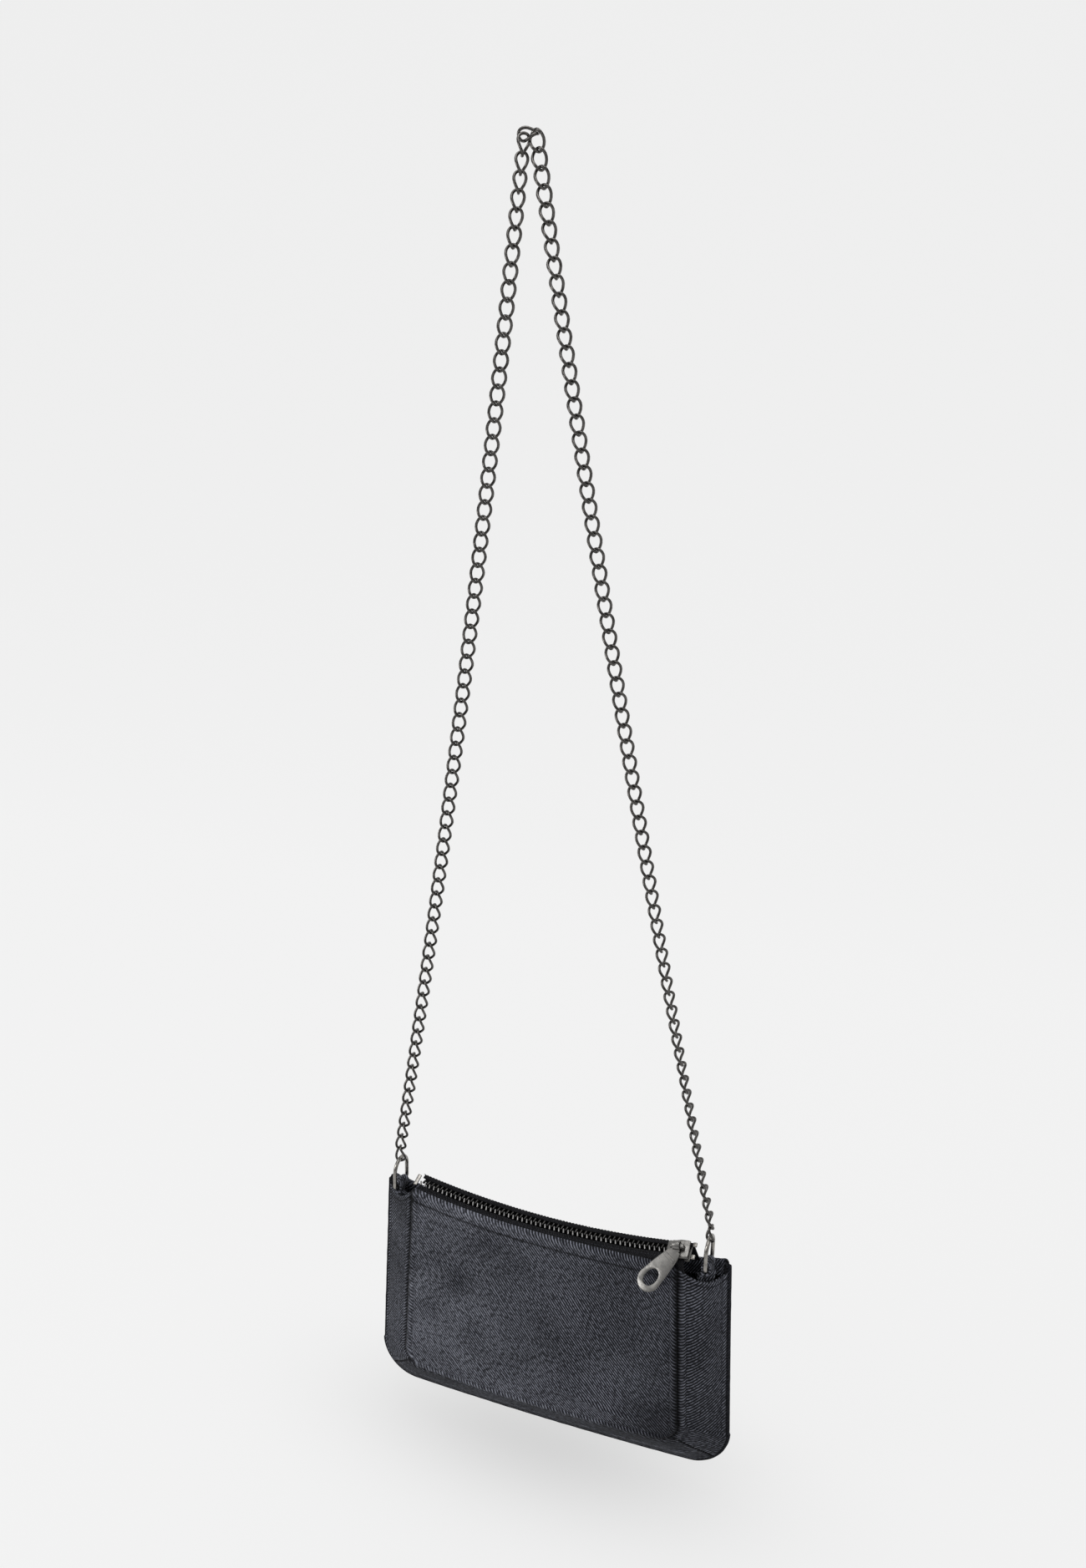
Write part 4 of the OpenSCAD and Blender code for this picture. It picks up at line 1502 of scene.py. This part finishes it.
    def lining_panel(self, wall: Wall) -> bpy.types.Object:
        """Makes the lining of one panel, flat against it.

        Args:
            wall: which panel.
        Returns:
            The lining.
        """
        y = wall.y - wall.face * 0.6

        def point(a: float, b: float) -> Vector:
            """Place on the lining."""
            p = self.panel_point(wall, lerp(0.08, 0.98, b), (2 * a - 1) * 0.97)
            return Vector((p.x, y, p.z))

        return Shape.surface(f"lining_{wall.word}_cloth", 40, 30, point,
                             lambda a, b: Vector((a * 150, b * 110, 0)), thick=self.lining_t)

    def cross_seam(self, a: float, steps: int, skip: int, out: float, down: float) -> Seam:
        """Draws a seam across the gusset.

        Args:
            a: share of the gusset's length.
            steps: how many parts its width is cut into.
            skip: parts left free at each end.
            out: sideways part of the outward direction.
            down: downward part of the outward direction.
        Returns:
            The seam's points and outward directions.
        """
        up = Vector((out if a < 0.5 else -out, -self.slope_front, -down))
        return [(self.gusset_point(a, b / steps), up) for b in range(skip, steps - skip + 1)]

    def topstitch(self) -> bpy.types.Object:
        """Makes the stitches under the front fold and across the gusset's upper ends."""
        t = self.topstitch_drop / BAG.front_h
        seams = [[(self.panel_point(Wall.FRONT, t, u / 60), Vector((0, -1, 0)))
                  for u in range(-58, 59)]]
        seams += [self.cross_seam(a, 20, 1, self.slope_out, 0.0) for a in (0.008, 0.992)]
        return Stitch(2.0, 0.75, 0.42).sew("topstitch_thread", seams)

    def mitre_stitches(self) -> bpy.types.Object:
        """Makes the close slanted stitches over the two bottom corner seams."""
        seams = [self.cross_seam(a, 30, 2, 0.45, 0.45) for a in OUT.mitres]
        return Stitch(1.9, -0.75, 0.4, 62.0).sew("mitre_thread", seams)

    def build(self) -> None:
        """Makes every piece of the shell."""
        dress = self.kit.dress
        for wall in Wall:
            dress(self.panel(wall), Finish.DENIM, "pouch", f"{wall.word}_panel")
        right, left = OUT.mitres
        for word, start, end, faces, finish in (("right", 0.0, right, 90, Finish.DENIM_DARK),
                                                ("bottom", right, left, 150, Finish.DENIM_LOW_SHADED),
                                                ("left", left, 1.0, 90, Finish.DENIM_DARK)):
            dress(self.gusset(word, start, end, faces), finish, "pouch", f"gusset_{word}")
        dress(self.binding(), Finish.BINDING, "pouch", "back_binding")
        dress(self.lining(), Finish.LINING, "pouch", "lining_gusset")
        for wall in Wall:
            dress(self.lining_panel(wall), Finish.LINING, "pouch", f"lining_{wall.word}")
        dress(self.topstitch(), Finish.THREAD, "pouch")
        dress(self.mitre_stitches(), Finish.THREAD, "pouch")


@dataclass
class Zip:
    """Zip along the dipped top: tapes, teeth, stops, slider and pull tab.

    Sizes are in millimetres and angles in degrees. Places along it are counted from its middle.
    """

    kit: Kit
    inset: float = 5.4
    rise: float = 1.8
    tilt: float = 30.0
    end_gap: float = 3.0
    tape_edge: float = 1.9
    tape_flat: float = 4.8
    tape_t: float = 0.45
    wall_gap: float = 0.35
    tooth_pitch: float = 2.5
    tooth_size: Place = (0.8, 2.4, 1.6)
    tooth_turn: float = 20.0
    tooth_in: float = 0.85
    edge_r: float = 0.3
    slider_l: float = 11.0
    slider_w: float = 9.0
    plate_t: float = 0.9
    channel: float = 3.0
    bar_t: float = 0.9
    bar_w: float = 2.0
    clearance: float = 0.3
    knuckle_t: float = 0.9
    knuckle_w: float = 3.4
    pull_l: float = 29.0
    pull_w: float = 11.5
    pull_t: float = 1.2
    pull_lift: float = 4.0

    @property
    def y(self) -> float:
        """Place of the zip's middle line from front to back."""
        return BAG.front_y + self.inset

    @property
    def slider_x(self) -> float:
        """Place of the slider's middle."""
        return BAG.zip_half - self.end_gap

    @property
    def knuckle(self) -> Flat:
        """Inner and outer radius of the pull's knuckle."""
        inner = math.hypot(self.bar_w, self.bar_t) / 2 + self.clearance
        return inner, inner + self.knuckle_t

    @property
    def bar_up(self) -> float:
        """Height of the bridge's bar above the slider's plate."""
        return self.knuckle[1] + self.clearance

    def on_arc(self, x: float) -> Matrix:
        """Place at the arc's centre, turned so that -Z points at x on the zip line."""
        lean = Matrix.Rotation(-math.asin(x / BAG.zip_r), 4, "Y")
        return move(BAG.pouch_x, 0, BAG.zip_centre_z) @ lean

    def on_zip(self, x: float) -> Matrix:
        """Place on the zip's middle line, +Z out of the zip and +Y to the back."""
        return self.on_arc(x) @ move(0, self.y, self.rise - BAG.zip_r) @ turn(self.tilt, "X")

    def section(self, out: float) -> Flat:
        """Place across the zip as (y, height above the front fold)."""
        a = math.radians(self.tilt)
        return self.y + out * math.cos(a), self.rise + out * math.sin(a)

    @staticmethod
    def along_arc(x: float, y: float, up: float) -> Vector:
        """Point over place x of the zip line, at depth y and height up."""
        a = math.asin(x / BAG.zip_r)
        r = BAG.zip_r - up
        return Vector((BAG.pouch_x + r * math.sin(a), y, BAG.zip_centre_z - r * math.cos(a)))

    def tape(self, name: str, corners: Sequence[Flat], x0: float, x1: float) -> bpy.types.Object:
        """Makes a tape by moving a cross-section along the zip's arc.

        Args:
            name: name of the object.
            corners: corners (y, height) of the cross-section, which are softened.
            x0: place of the tape's left end.
            x1: place of its right end.
        Returns:
            The tape.
        """
        section = walk([Vector(corner) for corner in corners])
        width = sum(math.dist(a, b) for a, b in zip(corners, corners[1:]))
        near = (-0.05, -0.025, 0, 0.025, 0.05)

        def point(u: float, v: float) -> Vector:
            """Place on the tape."""
            x = lerp(x0, x1, u)
            y, up = sum((section(clamp(v + d)) for d in near), Vector((0, 0))) / len(near)
            return self.along_arc(x, y, up + 0.2 * rough(x, v * 12, 9, 61))

        def cloth(u: float, v: float) -> Vector:
            """Cloth coordinates."""
            return Vector((v * width, lerp(x0, x1, u), 0))

        return Shape.surface(name, 150, 18, point, cloth, thick=self.tape_t, offset=0.0)

    def teeth(self, name: str, side: int) -> bpy.types.Object:
        """Makes one row of teeth clamped over the edge of its tape.

        Args:
            name: name of the object.
            side: 1 for the front row, -1 for the back row, which stands half a pitch off.
        Returns:
            The row.
        """
        bm = bmesh.new()
        start = self.end_gap - BAG.zip_half
        count = int((self.slider_x - 1.5 - start) / self.tooth_pitch)
        shift = 0.0 if side > 0 else 0.5
        for i in range(count):
            place = self.on_zip(start + (i + shift) * self.tooth_pitch)
            place = place @ turn(side * self.tooth_turn, "Z")
            place.translation = place.translation * MM
            made = bmesh.ops.create_cube(bm, size=1.0)["verts"]
            bmesh.ops.scale(bm, vec=Vector(self.tooth_size) * MM, verts=made)
            aside = Vector((0, -side * self.tooth_in * MM, 0))
            bmesh.ops.translate(bm, vec=aside, verts=made)
            edges = {e for v in made for e in v.link_edges}
            made = bmesh.ops.bevel(bm, geom=list(edges), offset=self.edge_r * MM, segments=2,
                                   profile=0.5, affect="EDGES")["verts"]
            bmesh.ops.transform(bm, matrix=place, verts=made)
        return Shape.add(name, bm)

    def slider(self) -> list[bpy.types.Object]:
        """Makes the slider's two plates and their four lips."""
        half_l, half_w, nose = self.slider_l / 2, self.slider_w / 2, self.slider_w * 0.36
        side = [(-half_l, nose), (half_l * 0.2, half_w), (half_l, half_w * 0.96)]
        outline = rounded([(x, -y) for x, y in side] + side[::-1], 1.1)
        lip = rectangle(0.0, half_l * 0.86, -0.4, 0.4)
        place = self.on_zip(self.slider_x)
        parts = []
        for i, s in enumerate((-1, 1)):
            at = place @ move(0, 0, s * (self.channel + self.plate_t) / 2)
            parts.append(Shape.plate(f"slider_plate_{i}", [outline], self.plate_t, self.edge_r, at))
        for i, (s, v) in enumerate(((-1, -1), (-1, 1), (1, -1), (1, 1))):
            at = place @ move(self.slider_l * 0.05, s * (half_w - 0.42), v * 1.05)
            parts.append(Shape.plate(f"slider_lip_{i}", [lip], 1.1, 0.15, at))
        return parts

    def bridge(self) -> bpy.types.Object:
        """Makes the arch that holds the pull tab."""
        foot, half = -0.3, self.slider_l * 0.33
        top = self.bar_up + self.bar_t / 2
        under, inner, slim = top - self.bar_t, half - self.bar_t * 1.2, half * 0.94
        loop = [(-half, foot), (-slim, top), (slim, top), (half, foot),
                (inner, foot), (inner, under), (-inner, under), (-inner, foot)]
        at = (self.on_zip(self.slider_x) @ move(0, 0, self.channel / 2 + self.plate_t)
              @ turn(90, "X"))
        return Shape.plate("slider_bridge_arch", [rounded(loop, 0.55)], self.bar_w, self.edge_r, at)

    def pull_place(self) -> Matrix:
        """Place of the pull's pivot, turned so that the plate hangs down against the front."""
        up = self.channel / 2 + self.plate_t + self.bar_up
        tilt = math.radians(self.tilt)
        y, rise = self.y - up * math.sin(tilt), self.rise + up * math.cos(tilt)
        clear = BAG.denim_t + 0.3 + 0.55
        lean = math.atan2(y - BAG.front_y + clear, rise) + math.radians(self.pull_lift)
        return (self.on_arc(self.slider_x) @ move(0, y, rise - BAG.zip_r)
                @ Matrix.Rotation(-lean, 4, "X"))

    def pull_outline(self) -> tuple[list[Flat], list[Flat]]:
        """Draws the pull's plate, round at its low end: its outline and its oval hole."""
        neck, neck_z, swell = 3.5, -2.4, 0.25
        end_r = self.pull_w / 2
        body = self.pull_l - 2 * self.knuckle[1] - end_r
        shares = [i / 8 for i in range(1, 9)]
        side = [(lerp(end_r, neck, k) + swell * math.sin(math.pi * k), lerp(-body, neck_z, k))
                for k in shares] + [(2.3, 0.4)]
        loop = (arc((0, -body), end_r, 0.97, 2.03, 40) + side
                + [(-x, z) for x, z in reversed(side)])
        half_w, half_l, faces = self.pull_w * 0.27, 4.3, 44
        turns = [math.tau * i / faces for i in range(faces)]
        hole = [(half_w * power(math.cos(w), 0.9), -body + 1.5 + half_l * math.sin(w))
                for w in turns]
        return loop, hole

    def pull(self) -> list[bpy.types.Object]:
        """Makes the pull tab: a knuckle round the bridge's bar, and a plate with its neck."""
        base = self.pull_place()
        inner_r, outer_r = self.knuckle
        eye = [arc((0, 0), r, 0, 2, 40)[:-1] for r in (outer_r, inner_r)]
        shoulder = rounded([(-3.4, -5.4), (3.4, -5.4), (3.1, -3.6), (-3.1, -3.6)], 0.4)
        neck = rectangle(-1.7, 1.7, -0.1, -1.7)
        flat = base @ move(0, 0, -outer_r - 0.3) @ turn(40, "Y") @ turn(90, "X")
        return [Shape.plate(name, loops, thick, bevel, at) for name, loops, thick, bevel, at in (
            ("pull_knuckle", eye, self.knuckle_w, 0.2, base @ turn(90, "Y")),
            ("pull_plate", self.pull_outline(), self.pull_t, 0.38, flat),
            ("pull_shoulder", [shoulder], self.pull_t + 0.3, 0.3, flat @ move(0, 0, 0.3)),
            ("pull_neck", [neck], 1.0, 0.1, base @ move(0, 0, -inner_r) @ turn(90, "X")),
        )]

    def stop(self, name: str, x: float, out: float, width: float) -> bpy.types.Object:
        """Makes one bent metal stop on the tapes.

        Args:
            name: name of the object.
            x: its place along the zip.
            out: its place across the zip.
            width: its size across the zip.
        Returns:
            The stop.
        """
        loop = rounded(rectangle(-1, 1, -width / 2, width / 2), 0.4)
        return Shape.plate(name, [loop], 1.0, self.edge_r, self.on_zip(x) @ move(0, out, 0.8))

    def stitch_rows(self) -> bpy.types.Object:
        """Makes the fine rows of stitches that hold the tapes."""
        seams = []
        for out in (-4.0, 4.2):
            y, up = self.section(out)
            seams.append([(self.along_arc(x, y, up + 0.3), Vector((0, -0.4, 0.9)))
                          for x in range(-70, 71)])
        return Stitch(1.3, 0.4, 0.3).sew("zip_thread", seams)

    def build(self) -> None:
        """Makes every piece of the zip."""
        dress, dress_all = self.kit.dress, self.kit.dress_all
        front_y, back_y = BAG.front_y + self.wall_gap, BAG.back_y - self.wall_gap
        front = [(front_y, -7.5), (front_y, -1.3), self.section(-self.tape_flat),
                 self.section(-self.tape_edge)]
        back = [self.section(self.tape_edge), self.section(self.tape_flat),
                (back_y, 1 - BAG.back_drop), (back_y, -BAG.back_drop - 6)]
        end = BAG.zip_half - self.end_gap
        for word, corners, past in (("front", front, 3), ("back", back, 6)):
            tape = self.tape(f"zip_{word}_tape", corners, -end, end + past)
            dress(tape, Finish.ZIP_TAPE, "pouch", f"zip_tape_{word}")
        for word, side, metal in (("front", 1, Finish.TOOTH_METAL),
                                  ("back", -1, Finish.TOOTH_SHADED)):
            dress(self.teeth(f"zip_{word}_teeth", side), metal, "pouch", f"zip_teeth_{word}")
        metal = Finish.RING_METAL
        dress(self.stop("stop_bottom", 1 - BAG.zip_half, 0, 6), metal, "pouch", "zip_stop_bottom")
        top_x = self.slider_x + self.slider_l / 2 + 2
        stops = [self.stop(f"stop_top_{i}", top_x, out, 2.2) for i, out in enumerate((-3.1, 3.1))]
        dress_all(stops, metal, "pouch", "zip_stops_top")
        dress(self.stitch_rows(), Finish.THREAD, "pouch")
        metal = Finish.SLIDER_METAL
        dress_all(self.slider(), metal, "slider", "slider_body")
        dress(self.bridge(), metal, "slider", "slider_bridge")
        dress_all(self.pull(), metal, "pull", "pull_tab")


@dataclass
class Studio:
    """Floor, backdrop, lights and camera, in millimetres and degrees."""

    kit: Kit
    floor_z: float = -634.0
    floor_w: float = 9000.0
    floor_front: float = -2600.0
    floor_l: float = 6000.0
    bend_y: float = 700.0
    bend_r: float = 900.0
    camera_at: Place = (229.7, -535.7, -95.8)
    azimuth: float = 22.03
    elevation: float = 16.55
    roll: float = 1.31
    lens: float = 30.3
    lamp_aim: Place = (20, 0, -540)
    sky: float = 0.55

    def floor(self) -> None:
        """Makes a pale floor that curves up into a backdrop."""

        def point(u: float, v: float) -> Vector:
            """Place on the sweep."""
            x, y = (u - 0.5) * self.floor_w, v * self.floor_l + self.floor_front
            if y < self.bend_y:
                return Vector((x, y, self.floor_z))
            w = (y - self.bend_y) / self.bend_r
            a = min(w, math.pi / 2)
            rise = 1 - math.cos(a) + (w - a)
            return Vector((x, self.bend_y + self.bend_r * math.sin(a),
                           self.floor_z + self.bend_r * rise))

        obj = Shape.surface("floor_sweep", 8, 120, point)
        obj.data.materials.append(self.kit.made[Finish.FLOOR])

    def light(self) -> None:
        """Puts in a soft sky and three soft lamps."""
        scene = bpy.context.scene
        world = bpy.data.worlds.new("studio")
        scene.world = world
        world.use_nodes = True
        back = world.node_tree.nodes["Background"]
        start = Sock(world.node_tree, back.outputs[0])
        _, _, up = start.node("ShaderNodeTexCoord", out="Generated").split()
        (up.ramp(-0.2, 0.25, 0.32, 0.5) + up.ramp(0.25, 0.9, 0.0, 0.75)).feed(back, "Color")
        back.inputs["Strength"].default_value = self.sky
        for name, at, size, watts in (
            ("key", (-700, -600, 0), 450, 4.2),
            ("rim", (600, -500, 250), 250, 0.5),
            ("top", (0, -100, 450), 500, 2.2),
        ):
            data = bpy.data.lights.new(name, "AREA")
            data.size = size * MM
            data.energy = watts
            lamp = bpy.data.objects.new(name, data)
            lamp.location = Vector(at) * MM
            aim = Vector(self.lamp_aim) * MM - lamp.location
            lamp.rotation_euler = aim.to_track_quat("-Z", "Y").to_euler()
            scene.collection.objects.link(lamp)

    def camera(self) -> None:
        """Puts the camera where the photo was taken from."""
        az, el, roll = (math.radians(v) for v in (self.azimuth, self.elevation, self.roll))
        back = Vector((math.sin(az) * math.cos(el), -math.cos(az) * math.cos(el), math.sin(el)))
        level_right = (-back).cross(Vector((0, 0, 1))).normalized()
        level_up = level_right.cross(-back)
        right = level_right * math.cos(roll) + level_up * math.sin(roll)
        up = level_up * math.cos(roll) - level_right * math.sin(roll)
        data = bpy.data.cameras.new("photo_camera")
        data.lens = self.lens
        data.sensor_width = 36.0
        data.clip_start = 0.01
        data.clip_end = 20.0
        cam = bpy.data.objects.new("photo_camera", data)
        pose = Matrix((right, up, back)).transposed().to_4x4()
        cam.matrix_world = Matrix.Translation(Vector(self.camera_at) * MM) @ pose
        bpy.context.scene.collection.objects.link(cam)
        bpy.context.scene.camera = cam
        bpy.context.scene.view_settings.view_transform = "Standard"

    def build(self) -> None:
        """Sets up the whole studio."""
        self.floor()
        self.light()
        self.camera()


def main() -> None:
    """Builds the bag and its studio in order."""
    logging.basicConfig(level=logging.INFO)
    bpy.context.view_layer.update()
    kit = Kit()
    for part in (Chain(kit), Rings(kit), Pouch(kit), Zip(kit), Studio(kit)):
        part.build()
    bpy.context.view_layer.update()


if __name__ == "__main__":
    main()
